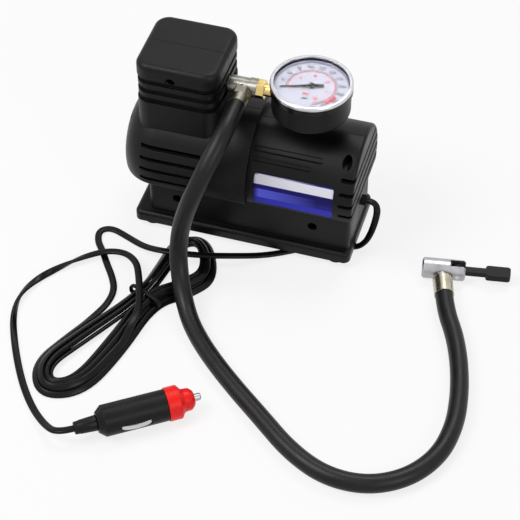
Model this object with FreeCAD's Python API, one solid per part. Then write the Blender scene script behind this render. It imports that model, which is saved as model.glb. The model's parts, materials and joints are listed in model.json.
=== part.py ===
"""Portable 12 V tire inflator: a small piston compressor in a split plastic housing.

Frame, in millimetres: the origin is on the floor below the middle of the housing.
X runs along the motor's axis to the right, Y to the rear, Z up.
"""

import math
import os

import FreeCAD, Part

V = FreeCAD.Vector
X, Y, Z = V(1, 0, 0), V(0, 1, 0), V(0, 0, 1)

# Housing, outside
BODY_LEFT = -77.6
BODY_RIGHT = 77.6
AXIS_Z = 56.0
BARREL_R = 39.8
DOME_ROUND = 24.0
STEP_X = 9.0
MOTOR_END_R = 34.5
END_ROUND = 2.5
BARREL_LIP_Z = 48.0
MOTOR_LIP_Z = 45.0
LIP_ROUND = 1.6
WALL = 2.4
SPLIT_GAP = 0.3

# Base plate, plinth and feet
FOOT_HEIGHT = 5.0
PLATE_LEFT = BODY_LEFT + 7.4
PLATE_RIGHT = BODY_RIGHT - 1.0
PLATE_HALF_WIDTH = 30.9
PLATE_THICK = 7.7
PLATE_CORNER = 4.5
PLATE_EDGE = 2.6
PLINTH_LEFT = PLATE_LEFT + 9.2
PLINTH_RIGHT = PLATE_RIGHT - 1.6
PLINTH_HALF_WIDTH = 26.5
PLINTH_CORNER = 4.0
FOOT_R = 6.0
FOOT_PEG_R = 2.5
FOOT_PEG_LONG = 4.4
FOOT_INSET_X = 10.5
FOOT_INSET_Y = 9.0

# Head cover over the cylinder
HEAD_LEFT = -67.1
HEAD_RIGHT = -12.8
HEAD_HALF_WIDTH = 26.4
HEAD_TOP = 136.1
HEAD_CORNER = 9.5
HEAD_EDGE = 4.0
HEAD_WALL = 3.8
HEAD_FOOT_Z = 66.0
CAP_DEPTH = 10.6
GROOVE_HIGH = 4.1
RIB_HIGH = 3.3
GROOVE_COUNT = 3
GROOVE_DEEP = 2.2
RIB_INSET = 0.4

# Vents and engraved lines
VENT_LEFT = -61.8
VENT_RIGHT = -18.0
VENT_TOP_Z = 76.0
VENT_PITCH = 7.45
VENT_HIGH = 2.6
VENT_COUNT = 4
DOME_VENT_HALF_WIDTH = 15.0
DOME_VENT_RIGHT = -70.0
DOME_VENT_LEVELS = (79.7, 67.2, 56.6)
END_VENT_LEFT = BODY_RIGHT - 9.3
END_VENT_TOP_Z = 75.7
END_VENT_PITCH = 8.4
END_VENT_HIGH = 2.6
END_VENT_COUNT = 4
LINE_HIGH = 2.4
LINE_DEEP = 1.0
LINE_1 = (9.2, 55.1, 82.5)
LINE_2 = (10.3, 49.5, 77.8)

# Housing screws: x and z of each, all along Y
SCREW_PLACES = ((-42.5, 126.5), (BODY_RIGHT - 7.2, 83.7), (-41.2, 27.6), (50.5, 28.2))
SCREW_R = 1.5
SCREW_HEAD_R = 2.75
SCREW_HEAD_HIGH = 2.4
SCREW_SEAT_Y = -8.0
SCREW_LONG = 20.0
SCREW_HOLE_R = 3.1
BOSS_R = 4.6
FIT = 0.1

# Motor
MOTOR_Z = 43.0
MOTOR_R = 18.0
MOTOR_LEFT = -15.5
MOTOR_RIGHT = 39.5
CAN_WALL = 1.2
END_CAP_THICK = 4.0
SHAFT_R = 1.6
SHAFT_LEFT = -28.0
SHAFT_RIGHT = 45.0
MOTOR_NOSE_R = 5.0
MOTOR_NOSE_LONG = 2.5
MAGNET_THICK = 1.8
MAGNET_LEFT = -8.0
MAGNET_RIGHT = 26.0
MAGNET_HALF_ANGLE = 58.0
AIR_GAP = 0.6
ROTOR_LEFT = -6.0
ROTOR_RIGHT = 24.0
ROTOR_SLOTS = 5
ROTOR_SLOT_WIDE = 2.2
COMMUTATOR_R = 4.6
COMMUTATOR_LEFT = 28.0
COMMUTATOR_RIGHT = 35.0
CRADLE_THICK = 2.4
CRADLE_PLACES = (-6.0, 28.0)

# Gears
MODULE = 0.8
PINION_TEETH = 10
GEAR_TEETH = 48
SHIFT = 0.4
PRESSURE_ANGLE = math.radians(20)
BACKLASH = 0.16
PINION_LEFT = -27.5
PINION_RIGHT = -21.5
GEAR_LEFT = -27.0
GEAR_RIGHT = -22.0
GEAR_Z = MOTOR_Z + MODULE * (PINION_TEETH + GEAR_TEETH) / 2
AXLE_R = 3.0
AXLE_HEAD_R = 4.5
RUNNING = 0.1

# Gear frame
FRAME_RIGHT = MOTOR_LEFT
FRAME_THICK = 4.0
FRAME_HALF_WIDTH = 15.5
SHELF_HALF_WIDTH = 19.0
SHELF_LEFT = -58.0
SHELF_Z = 86.6
SHELF_THICK = 3.0

# Crank, rod and piston, stored at the bottom of the stroke
CYL_X = -40.0
CRANK_THROW = 6.5
CRANK_DISC_R = 11.0
CRANK_LEFT = -35.5
PIN_R = 2.5
PIN_GAP = 0.3
ROD_THICK = 6.0
ROD_WIDE = 7.0
ROD_EYE_R = 5.5
ROD_LENGTH = 31.8
PISTON_R = 11.2
PISTON_THICK = 2.6
SEAL_THICK = 1.8
RETAINER_R = 8.6
RETAINER_THICK = 1.1

# Cylinder and its head
BORE_R = 12.0
CYL_WALL = 2.5
CYL_BOTTOM = 86.5
CYL_TOP = 105.0
FIN_R = 16.6
FIN_THICK = 1.4
FIN_COUNT = 3
FIN_PITCH = 3.6
FLANGE_THICK = 2.0
GASKET_THICK = 0.6
BLOCK_HALF = 17.0
BLOCK_HIGH = 12.9
BLOCK_CORNER = 3.0
CHAMBER_R = 8.0
CHAMBER_FLOOR = 2.4
CHAMBER_HIGH = 7.0
VALVE_R = 4.0
VALVE_THICK = 0.6
VALVE_PORT_R = 1.5
BOLT_OFFSET = 13.5
BOLT_R = 1.5
BOLT_HEAD_R = 2.7
BOLT_HEAD_HIGH = 1.6

# Outlet, tee and gauge
OUTLET_Z = 112.5
OUTLET_BORE_R = 1.6
THREAD_R = 3.2
THREAD_DEEP = 6.0
TEE_R = 5.6
TEE_LEFT = -12.5
TEE_COLLAR_LEFT = 0.9
TEE_COLLAR_RIGHT = 6.1
TEE_COLLAR_R = 6.2
BRANCH_X = -2.2
BRANCH_R = 4.4
BRANCH_LONG = 8.5
BRANCH_BORE_R = 1.4
STEM_HEX = 11.0
STEM_HEX_RIGHT = 11.0
STEM_R = 4.0
GAUGE_BOTTOM = 104.0
GAUGE_TOP = 126.9
CASE_R = 25.0
STEM_NECK = 4.7
GAUGE_X = STEM_HEX_RIGHT + STEM_NECK + CASE_R
CASE_WALL = 1.8
CASE_ROUND = 3.0
BEZEL_PROUD = 1.0
BEZEL_R = CASE_R + BEZEL_PROUD
BEZEL_HIGH = 6.4
BEZEL_LIP = 2.4
BEZEL_LIP_THICK = 1.2
LENS_THICK = 1.4
DIAL_Z = 121.4
DIAL_THICK = 0.8
NEEDLE_Z = 123.0
NEEDLE_THICK = 0.5
NEEDLE_LONG = 19.5
NEEDLE_TAIL = 7.5
NEEDLE_WIDE = 2.4
NEEDLE_HUB_R = 2.3
NEEDLE_SPINDLE_R = 0.8
NEEDLE_REST_ANGLE = 197.0
TUBE_COIL_R = 17.0
TUBE_R = 1.7
TUBE_Z = 113.5
MOVEMENT_R = 8.0
MOVEMENT_THICK = 2.0
MOVEMENT_POST_R = 1.6

# Hose and its ferrules
HOSE_R = 5.8
FERRULE_R = 5.9
FERRULE_START = 6.4
FERRULE_LONG = 12.6
FERRULE_HEX_LONG = 6.0
HOSE_FLOOR_Z = 6.0
HOSE_RUN_IN = 14.0
HOSE_ROUTE = (
    (BRANCH_X, -FERRULE_START - FERRULE_LONG, OUTLET_Z), (BRANCH_X, -33.6, OUTLET_Z),
    (-3.6, -47.5, 108.0), (-7.3, -59.2, 99.4), (-11.7, -67.8, 87.6), (-16.5, -72.3, 73.8),
    (-20.8, -72.6, 58.9), (-23.4, -73.6, 44.4), (-23.4, -77.4, 30.6), (-19.8, -85.6, 18.8),
    (-13.3, -97.2, 10.2), (-4.2, -111.0, HOSE_FLOOR_Z), (11.5, -129.0, HOSE_FLOOR_Z),
    (34.0, -149.5, HOSE_FLOOR_Z), (59.0, -169.5, HOSE_FLOOR_Z), (82.0, -188.5, HOSE_FLOOR_Z),
    (106.5, -200.5, HOSE_FLOOR_Z), (132.0, -200.5, HOSE_FLOOR_Z), (153.5, -188.5, HOSE_FLOOR_Z),
    (167.5, -168.0, HOSE_FLOOR_Z), (171.8, -143.0, HOSE_FLOOR_Z), (169.3, -117.0, HOSE_FLOOR_Z),
    (163.5, -92.5, HOSE_FLOOR_Z), (156.0, -72.0, 6.4),
)

# Air chuck, along its own axis from the mouth
CHUCK_PLACE = V(123.2, -21.3, 7.0)
CHUCK_TURN = 9.4
CHUCK_R = 6.8
CHUCK_LONG = 28.0
CHUCK_EDGE = 1.2
CHUCK_MOUTH_R = 5.3
CHUCK_CHAMBER_R = 3.2
CHUCK_CHAMBER_END = 12.9
VALVE_BORE_R = 4.1
SEAL_START = 1.0
SEAL_DEEP = 7.0
PRESS_PIN_R = 0.9
PRESS_PIN_LONG = 4.1
PRESS_BASE_THICK = 0.9
PRESS_PORT_R = 0.6
CHUCK_SIDE_S = 12.4
CHUCK_SIDE_TURN = -72.4
COLLAR_START = 6.0
COLLAR_END = 9.4
COLLAR_R = 4.6
INLET_R = 3.7
INLET_STEP = 2.0
LOWER_FERRULE_END = 23.2
LOWER_FERRULE_R = 6.4
LEVER_SLOT_S = 18.0
LEVER_SLOT_WIDE = 5.4
LEVER_PIN_S = 23.0
LEVER_PIN_R = 1.4
LEVER_WIDE = 4.8
LEVER_EYE_R = 4.0
LEVER_NECK_END = 41.0
LEVER_END = 57.0
LEVER_NECK_THICK = 3.6
LEVER_PAD_WIDE = 9.0
LEVER_PAD_THICK = 4.6
LEVER_PAD_CORNER = 2.0
LEVER_DROOP = 6.0

# Cord, its hank and its tie
CORD_R = 1.5
CORD_FLOOR_Z = 1.6
GLAND_Y = 4.1
GLAND_Z = 30.9
GLAND_R = 3.6
GLAND_STEP = 1.0
GLAND_NUT_THICK = 2.0
GLAND_LONG = 1.6
LEAD_ROUTE = (
    (BODY_RIGHT + GLAND_LONG, GLAND_Y, GLAND_Z), (84.4, GLAND_Y, GLAND_Z), (88.0, 2.2, 27.0),
    (88.0, -2.0, 21.0), (86.4, -6.2, 13.6), (84.0, -9.6, 6.8), (77.8, -11.4, CORD_FLOOR_Z),
    (66.0, -12.0, CORD_FLOOR_Z), (53.0, -15.5, CORD_FLOOR_Z), (38.0, -26.0, CORD_FLOOR_Z),
    (21.5, -37.5, 3.4), (4.0, -48.5, 8.8), (-17.5, -55.5, 9.8), (-40.5, -58.0, 9.4),
    (-56.0, -53.5, 4.6), (-70.0, -45.5, CORD_FLOOR_Z), (-83.0, -40.5, CORD_FLOOR_Z),
    (-90.3, -45.0, CORD_FLOOR_Z), (-88.0, -54.5, CORD_FLOOR_Z), (-81.5, -62.5, CORD_FLOOR_Z),
    (-75.0, -72.5, CORD_FLOOR_Z), (-68.0, -82.0, CORD_FLOOR_Z), (-62.5, -92.5, CORD_FLOOR_Z),
    (-62.5, -104.5, CORD_FLOOR_Z), (-66.0, -116.0, 2.0),
)
HANK_LIFT = 0.75
HANK_LAYER = 3.8
HANK_LOOPS = 3
HANK_LOOP = (
    (-77.0, -137.0), (-88.5, -165.0), (-77.0, -190.5), (-50.5, -176.5), (-38.0, -142.0),
    (-13.0, -85.5), (0.5, -65.0), (-20.0, -27.5), (-38.5, -35.5), (-45.0, -59.0),
)
HANK_FIRST = 1
HANK_CLIMB = 4
HANK_OUTWARD = 24
HANK_TOP = 9
HANK_TOP_BACK = 2.5
HANK_SLOPE = 0.03
LOBE_STEP = 4.4
WAIST_STEP = 3.5
LEAD_RUN_IN = 12.0
TAIL_RUN_OUT = 6.0
TAIL_RUN_IN = 10.5
TAIL_ROUTE = (
    (-39.2, -124.0, 9.8), (-39.5, -110.0, 9.9), (-43.5, -97.0, 9.9), (-48.5, -84.0, 9.8),
    (-54.5, -71.5, 8.8), (-65.0, -64.0, 7.0), (-78.0, -65.0, 5.6), (-91.0, -72.5, 3.6),
    (-102.5, -84.5, CORD_FLOOR_Z), (-113.5, -98.5, CORD_FLOOR_Z), (-119.0, -115.0, CORD_FLOOR_Z),
    (-116.5, -132.5, CORD_FLOOR_Z), (-108.5, -150.5, CORD_FLOOR_Z),
    (-98.5, -169.0, CORD_FLOOR_Z), (-88.0, -185.5, CORD_FLOOR_Z), (-76.5, -199.5, CORD_FLOOR_Z),
    (-64.0, -211.5, 5.2),
)
TIE_CENTRE = V(-40.7, -95.1, 0)
TIE_TURN = 68.0
TIE_HALF_WIDTH = 12.3
TIE_WIDE = 3.0
TIE_THICK = 0.6

# Plug, along its own axis from the cord's end
PLUG_PLACE = V(-44.2, -212.9, 10.6)
PLUG_TURN = 35.1
RELIEF_LONG = 14.0
RELIEF_R = 3.4
PLUG_BODY_R = 9.8
PLUG_TAPER_R = 6.4
PLUG_TAPER_LONG = 4.0
PLUG_BODY_END = 57.0
NOSE_RING_R = 10.5
NOSE_RING_LONG = 3.2
NOSE_R = 9.3
NOSE_1_END = 66.2
NOSE_2_R = 7.4
NOSE_2_END = 71.2
NOSE_3_R = 5.4
NOSE_END = 73.6
TIP_R = 2.3
TIP_END = 78.8
TIP_FLANGE_R = 3.9
TIP_FLANGE_S = 66.5
TIP_FLANGE_LONG = 1.5
TIP_TRAVEL = 3.0
TIP_ROUND = 1.2
FUSE_R = 3.1
FUSE_LEFT = 33.0
CONTACT_LEFT = 27.0
CONTACT_RIGHT = 46.0
CONTACT_WIDE = 3.6
CONTACT_THICK = 0.6
CONTACT_BULGE = 0.9

# Switch on the rear of the motor section
SWITCH_X = 44.0
SWITCH_Z = 62.0
SWITCH_LONG = 21.0
SWITCH_HIGH = 15.0
SWITCH_FLANGE = 2.0
SWITCH_DEEP = 14.0
SWITCH_CORNER = 0.9
ROCKER_LONG = 15.0
ROCKER_HIGH = 10.0
ROCKER_PIVOT_DEEP = 3.2
ROCKER_TILT = 9.0
ROCKER_PIN_R = 1.2
ROCKER_SWING = 1.6
ROCKER_GAP = 0.3
ROCKER_TAPER = 1.5
ROCKER_CREST = 1.4
ROCKER_DIP = 0.6
ROCKER_BELOW = 2.0


def box(x0, x1, y0, y1, z0, z1):
    return Part.makeBox(x1 - x0, y1 - y0, z1 - z0, V(x0, y0, z0))


def rod(start, direction, radius, length):
    return Part.makeCylinder(radius, length, start, direction)


def rounded_prism(x0, x1, y0, y1, z0, z1, radius):
    """A box with its four upright edges rounded."""
    solid = box(x0, x1, y0, y1, z0, z1)
    upright = [e for e in solid.Edges if abs(e.Vertexes[0].Z - e.Vertexes[1].Z) > 1e-6]
    return solid.makeFillet(radius, upright)


def edges_at_z(solid, level):
    return [e for e in solid.Edges if all(abs(v.Z - level) < 1e-6 for v in e.Vertexes)]


def slot_y(x0, x1, z, high, y0, y1):
    """A slot with round ends that runs along X and is cut along Y."""
    half = high / 2
    low = V(x0 + half, y0, z - half)
    high_right = V(x1 - half, y0, z + half)
    top_left = V(x0 + half, y0, z + half)
    low_right = V(x1 - half, y0, z - half)
    outline = [
        Part.LineSegment(low, low_right).toShape(),
        Part.Arc(low_right, V(x1, y0, z), high_right).toShape(),
        Part.LineSegment(high_right, top_left).toShape(),
        Part.Arc(top_left, V(x0, y0, z), low).toShape(),
    ]
    return Part.Face(Part.Wire(outline)).extrude(V(0, y1 - y0, 0))


def turned(points, axis_start, axis):
    """A solid of revolution from a closed outline of (along, radius) pairs."""
    side = Z if abs(axis.z) < 0.5 else X
    corners = [axis_start + axis * along + side * radius for along, radius in points]
    face = Part.Face(Part.makePolygon(corners + corners[:1]))
    return face.revolve(axis_start, axis, 360)


def hex_bar(start, direction, across, length):
    """A hexagonal bar with its flats facing up and down."""
    side = direction.cross(Z)
    corners = []
    for k in range(7):
        angle = math.radians(60 * k)
        offset = side * math.cos(angle) + Z * math.sin(angle)
        corners.append(start + offset * (across / math.sqrt(3)))
    return Part.Face(Part.makePolygon(corners)).extrude(direction * length)


def fuse_all(solids):
    first = solids[0]
    return first.multiFuse(solids[1:]).removeSplitter() if len(solids) > 1 else first


# Housing


def barrel(inset):
    """The cylinder side's round body: a drum with a domed left end and a flat underside."""
    left, right = BODY_LEFT + inset, STEP_X - inset
    radius, bend = BARREL_R - inset, DOME_ROUND - inset
    flat = radius - bend
    mid = bend * math.sqrt(0.5)
    points = [V(left, 0, AXIS_Z), V(left, 0, AXIS_Z + flat), V(left + bend, 0, AXIS_Z + radius),
              V(right, 0, AXIS_Z + radius), V(right, 0, AXIS_Z)]
    middle = V(left + bend - mid, 0, AXIS_Z + flat + mid)
    outline = [
        Part.LineSegment(points[0], points[1]).toShape(),
        Part.Arc(points[1], middle, points[2]).toShape(),
        Part.LineSegment(points[2], points[3]).toShape(),
        Part.LineSegment(points[3], points[4]).toShape(),
        Part.LineSegment(points[4], points[0]).toShape(),
    ]
    drum = Part.Face(Part.Wire(outline)).revolve(points[0], X, 360)
    lip = BARREL_LIP_Z + inset
    drum = drum.common(box(left - 1, right + 1, -BARREL_R, BARREL_R, lip, AXIS_Z + BARREL_R))
    if inset:
        return drum
    return drum.makeFillet(LIP_ROUND, edges_at_z(drum, lip)[:1])


def motor_end(inset):
    """The motor side's smaller drum, which runs into the barrel."""
    right, radius = BODY_RIGHT - inset, MOTOR_END_R - inset
    start = V(STEP_X - BARREL_R / 2, 0, AXIS_Z)
    drum = rod(start, X, radius, right - start.x)
    rim = [e for e in drum.Edges if all(abs(v.X - right) < 1e-6 for v in e.Vertexes)]
    drum = drum.makeFillet(END_ROUND, rim)
    lip = MOTOR_LIP_Z + inset
    return drum.common(box(start.x, right + 1, -radius, radius, lip, AXIS_Z + radius))


def plinth(inset):
    """The straight-sided foot between the round body and the base plate."""
    half = PLINTH_HALF_WIDTH - inset
    return rounded_prism(PLINTH_LEFT + inset, PLINTH_RIGHT - inset, -half, half,
                         FOOT_HEIGHT + inset, AXIS_Z, PLINTH_CORNER - inset / 2)


def base_plate(inset):
    half, top = PLATE_HALF_WIDTH - inset, FOOT_HEIGHT + PLATE_THICK - inset
    plate = rounded_prism(PLATE_LEFT + inset, PLATE_RIGHT - inset, -half, half,
                          FOOT_HEIGHT + inset, top, PLATE_CORNER - inset / 2)
    if inset:
        return plate
    return plate.makeFillet(PLATE_EDGE, edges_at_z(plate, top))


def head_cover():
    """The head cover's outside: a crown cap above bands of grooves and ribs."""
    levels = []
    z = HEAD_TOP - CAP_DEPTH
    for k in range(GROOVE_COUNT):
        levels.append((z - GROOVE_HIGH, z, GROOVE_DEEP))
        z -= GROOVE_HIGH
        if k < GROOVE_COUNT - 1:
            levels.append((z - RIB_HIGH, z, RIB_INSET))
            z -= RIB_HIGH
    levels.append((HEAD_FOOT_Z, z, 0))
    cap = head_block(0, HEAD_TOP - CAP_DEPTH, HEAD_TOP)
    cap = cap.makeFillet(HEAD_EDGE, edges_at_z(cap, HEAD_TOP))
    return fuse_all([cap] + [head_block(inset, low, high) for low, high, inset in levels])


def head_block(inset, low, high):
    half = HEAD_HALF_WIDTH - inset
    return rounded_prism(HEAD_LEFT + inset, HEAD_RIGHT - inset, -half, half,
                         low, high, HEAD_CORNER - inset)


def housing_outside():
    return fuse_all([barrel(0), motor_end(0), plinth(0), base_plate(0), head_cover()])


def housing_inside():
    head = head_block(HEAD_WALL, HEAD_FOOT_Z, HEAD_TOP - HEAD_WALL)
    return fuse_all([barrel(WALL), motor_end(WALL), plinth(WALL), base_plate(WALL), head])


def vents():
    """The slots in both sides of the barrel and round the motor's end."""
    cuts = []
    reach = BARREL_R + 5
    for k in range(VENT_COUNT):
        z = VENT_TOP_Z - k * VENT_PITCH
        for side in (-1, 1):
            near, far = sorted((side * PLINTH_HALF_WIDTH * 0.9, side * reach))
            cuts.append(slot_y(VENT_LEFT, VENT_RIGHT, z, VENT_HIGH, near, far))
    for z in DOME_VENT_LEVELS:
        half, high = DOME_VENT_HALF_WIDTH, VENT_HIGH / 2
        cuts.append(box(BODY_LEFT, DOME_VENT_RIGHT, -half, half, z - high, z + high))
    for k in range(END_VENT_COUNT):
        z = END_VENT_TOP_Z - k * END_VENT_PITCH
        cuts.append(slot_y(END_VENT_LEFT, BODY_RIGHT + reach, z, END_VENT_HIGH, -reach, reach))
    return cuts


def engraved_lines():
    """The two shallow grooves along both sides of the motor's drum."""
    core = rod(V(0, 0, AXIS_Z), X, MOTOR_END_R - LINE_DEEP, BODY_RIGHT)
    cuts = []
    for x0, x1, z in (LINE_1, LINE_2):
        line = slot_y(x0, x1, z, LINE_HIGH, -BARREL_R, BARREL_R)
        cuts.append(line.cut(core))
    return cuts


def screw_bosses(inside):
    reach = 2 * BARREL_R
    posts = [rod(V(x, -BARREL_R, z), Y, BOSS_R, reach) for x, z in SCREW_PLACES]
    return [post.common(inside) for post in posts]


def screw_holes():
    cuts = []
    for x, z in SCREW_PLACES:
        seat = V(x, SCREW_SEAT_Y, z)
        cuts.append(rod(seat - Y * BARREL_R, Y, SCREW_HOLE_R, BARREL_R))
        cuts.append(rod(seat, Y, SCREW_R + FIT, -SCREW_SEAT_Y))
        cuts.append(rod(seat, Y, SCREW_R, SCREW_LONG + FIT))
    return cuts


def motor_cradles(inside):
    """Ribs that rise from the floor of the housing to hold the motor."""
    ribs = []
    seat = rod(V(MOTOR_LEFT - 5, 0, MOTOR_Z), X, MOTOR_R + FIT, 2 * BODY_RIGHT)
    for x in CRADLE_PLACES:
        rib = box(x, x + CRADLE_THICK, -BARREL_R, BARREL_R, FOOT_HEIGHT, MOTOR_Z + MOTOR_R / 2)
        ribs.append(rib.common(inside).cut(seat))
    return ribs


def foot_places():
    places = []
    for x in (PLATE_LEFT + FOOT_INSET_X, PLATE_RIGHT - FOOT_INSET_X):
        for side in (-1, 1):
            places.append(V(x, side * (PLATE_HALF_WIDTH - FOOT_INSET_Y), 0))
    return places


def housing_openings():
    """Holes for the outlet, the cord, the switch and the feet."""
    outlet = rod(V(HEAD_RIGHT - 2 * HEAD_WALL, 0, OUTLET_Z), X, TEE_R - 1, 3 * HEAD_WALL)
    cord = rod(V(BODY_RIGHT / 2, GLAND_Y, GLAND_Z), X, GLAND_R - 1, BODY_RIGHT)
    half = SWITCH_LONG / 2
    switch = box(SWITCH_X - half, SWITCH_X + half, BARREL_R / 2, BARREL_R + 5,
                 SWITCH_Z - SWITCH_HIGH / 2, SWITCH_Z + SWITCH_HIGH / 2)
    feet = [rod(place, Z, FOOT_PEG_R, FOOT_HEIGHT + WALL + 1) for place in foot_places()]
    return [outlet, cord, switch] + feet


def housing():
    """The two halves, which meet on the plane through the motor's axis."""
    outside, inside = housing_outside(), housing_inside()
    shell = outside.cut(inside)
    shell = shell.multiFuse(screw_bosses(inside) + motor_cradles(inside))
    shell = shell.cut(vents() + engraved_lines() + screw_holes() + housing_openings())
    reach, gap = 2 * BARREL_R, SPLIT_GAP / 2
    x0, x1 = BODY_LEFT - 5, BODY_RIGHT + 5
    front = shell.common(box(x0, x1, -reach, -gap, 0, HEAD_TOP + 5))
    rear = shell.common(box(x0, x1, gap, reach, 0, HEAD_TOP + 5))
    return front, rear


def rubber_feet():
    feet = []
    for place in foot_places():
        pad = rod(place, Z, FOOT_R, FOOT_HEIGHT)
        pad = pad.makeChamfer(0.8, edges_at_z(pad, 0))
        feet.append(pad.fuse(rod(place + Z * FOOT_HEIGHT, Z, FOOT_PEG_R, FOOT_PEG_LONG - 1)))
    return Part.makeCompound(feet)


def screw(seat, direction, head_r, head_high, shank_r, length):
    """A pan-head screw with a cross recess, from the underside of its head."""
    head = rod(seat - direction * head_high, direction, head_r, head_high)
    body = head.fuse(rod(seat, direction, shank_r, length))
    side = direction.cross(X if abs(direction.x) < 0.5 else Z)
    top = seat - direction * head_high
    for across in (side, side.cross(direction)):
        arm = Part.makeBox(head_r * 1.2, 0.7, head_high * 0.5)
        arm.translate(V(-head_r * 0.6, -0.35, 0))
        turn = FreeCAD.Placement(top, FreeCAD.Rotation(across, direction.cross(across), direction))
        arm.Placement = turn.multiply(arm.Placement)
        body = body.cut(arm)
    return body


def housing_screws():
    screws = []
    for x, z in SCREW_PLACES:
        seat = V(x, SCREW_SEAT_Y, z)
        screws.append(screw(seat, Y, SCREW_HEAD_R, SCREW_HEAD_HIGH, SCREW_R, SCREW_LONG))
    return Part.makeCompound(screws)


# Motor


def motor_can():
    axis = V(MOTOR_LEFT, 0, MOTOR_Z)
    can = rod(axis, X, MOTOR_R, MOTOR_RIGHT - MOTOR_LEFT)
    inner = rod(axis + X * CAN_WALL, X, MOTOR_R - CAN_WALL, MOTOR_RIGHT - MOTOR_LEFT)
    nose = rod(axis - X * MOTOR_NOSE_LONG, X, MOTOR_NOSE_R, MOTOR_NOSE_LONG + 2 * CAN_WALL)
    bore = rod(axis - X * 2 * MOTOR_NOSE_LONG, X, SHAFT_R + RUNNING, 5 * MOTOR_NOSE_LONG)
    return can.cut(inner).fuse(nose).cut(bore)


def motor_end_cap():
    axis = V(MOTOR_RIGHT, 0, MOTOR_Z)
    cap = rod(axis, X, MOTOR_R, END_CAP_THICK)
    plug = rod(axis - X * END_CAP_THICK / 2, X, MOTOR_R - CAN_WALL - FIT, END_CAP_THICK / 2)
    bore = rod(axis - X * END_CAP_THICK, X, SHAFT_R + RUNNING, 4 * END_CAP_THICK)
    return cap.fuse(plug).cut(bore)


def motor_magnets():
    outer = MOTOR_R - CAN_WALL
    length = MAGNET_RIGHT - MAGNET_LEFT
    magnets = []
    for middle in (0, 180):
        start = V(MAGNET_LEFT, 0, MOTOR_Z)
        sector = Part.makeCylinder(outer, length, start, X, 2 * MAGNET_HALF_ANGLE)
        core = rod(start, X, outer - MAGNET_THICK, length)
        sector = sector.cut(core)
        sector.rotate(start, X, middle - MAGNET_HALF_ANGLE)
        magnets.append(sector)
    return Part.makeCompound(magnets)


def rotor_core():
    radius = MOTOR_R - CAN_WALL - MAGNET_THICK - AIR_GAP
    start = V(ROTOR_LEFT, 0, MOTOR_Z)
    length = ROTOR_RIGHT - ROTOR_LEFT
    core = rod(start, X, radius, length).cut(rod(start, X, SHAFT_R, length))
    half = ROTOR_SLOT_WIDE / 2
    cuts = []
    for k in range(ROTOR_SLOTS):
        slot = box(ROTOR_LEFT, ROTOR_RIGHT, -half, half, MOTOR_Z + radius / 2, MOTOR_Z + radius)
        slot = slot.fuse(box(ROTOR_LEFT, ROTOR_RIGHT, -half, half,
                             MOTOR_Z + radius / 2, MOTOR_Z + radius + 1))
        slot.rotate(start, X, 360 * k / ROTOR_SLOTS)
        cuts.append(slot)
    return core.cut(cuts)


def motor_shaft():
    return rod(V(SHAFT_LEFT, 0, MOTOR_Z), X, SHAFT_R, SHAFT_RIGHT - SHAFT_LEFT)


def commutator():
    start = V(COMMUTATOR_LEFT, 0, MOTOR_Z)
    length = COMMUTATOR_RIGHT - COMMUTATOR_LEFT
    return rod(start, X, COMMUTATOR_R, length).cut(rod(start, X, SHAFT_R, length))


# Gears


def involute_gear(teeth, shift, face_left, face_right, z):
    """A spur gear with involute flanks, thinned by half of the backlash."""
    pitch_r = MODULE * teeth / 2
    base_r = pitch_r * math.cos(PRESSURE_ANGLE)
    tip_r = pitch_r + MODULE * (1 + shift) - 0.04
    root_r = pitch_r - MODULE * (1.25 - shift)
    involute = math.tan(PRESSURE_ANGLE) - PRESSURE_ANGLE
    half = math.pi / (2 * teeth) + 2 * shift * math.tan(PRESSURE_ANGLE) / teeth
    half -= BACKLASH / (4 * pitch_r)

    def flank(radius, sign, middle):
        spread = math.acos(min(1.0, base_r / radius))
        angle = half + involute - (math.tan(spread) - spread)
        turn = middle + sign * angle
        return V(face_left, radius * math.sin(turn), z + radius * math.cos(turn))

    start_r = max(base_r, root_r + 0.02)
    radii = [start_r + (tip_r - start_r) * k / 3 for k in range(4)]
    corners = []
    for k in range(teeth):
        middle = 2 * math.pi * k / teeth
        foot = flank(start_r, -1, middle)
        low = (foot - V(face_left, 0, z)) * (root_r / start_r) + V(face_left, 0, z)
        corners.append(low)
        corners += [flank(radius, -1, middle) for radius in radii]
        corners += [flank(radius, 1, middle) for radius in reversed(radii)]
        foot = flank(start_r, 1, middle)
        corners.append((foot - V(face_left, 0, z)) * (root_r / start_r) + V(face_left, 0, z))
    outline = Part.makePolygon(corners + corners[:1])
    return Part.Face(outline).extrude(X * (face_right - face_left))


def pinion():
    gear = involute_gear(PINION_TEETH, SHIFT, PINION_LEFT, PINION_RIGHT, MOTOR_Z)
    return gear.cut(rod(V(PINION_LEFT, 0, MOTOR_Z), X, SHAFT_R, PINION_RIGHT - PINION_LEFT))


def crank_gear():
    """The large gear with its crank disc and its bore for the axle."""
    gear = involute_gear(GEAR_TEETH, -SHIFT, GEAR_LEFT, GEAR_RIGHT, GEAR_Z)
    gear.rotate(V(0, 0, GEAR_Z), X, 180 / GEAR_TEETH)
    disc = rod(V(CRANK_LEFT, 0, GEAR_Z), X, CRANK_DISC_R, GEAR_LEFT - CRANK_LEFT)
    hub_right = FRAME_RIGHT - FRAME_THICK - 2 * RUNNING
    hub = rod(V(GEAR_RIGHT, 0, GEAR_Z), X, AXLE_R + 3, hub_right - GEAR_RIGHT)
    bore = rod(V(CRANK_LEFT + 1, 0, GEAR_Z), X, AXLE_R + RUNNING, hub_right - CRANK_LEFT)
    return gear.fuse([disc, hub]).cut(bore)


def gear_axle():
    left = CRANK_LEFT + 1 + 2 * RUNNING
    right = FRAME_RIGHT
    axle = rod(V(left, 0, GEAR_Z), X, AXLE_R, right - left)
    return axle.fuse(rod(V(right, 0, GEAR_Z), X, AXLE_HEAD_R, 1.2))


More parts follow.
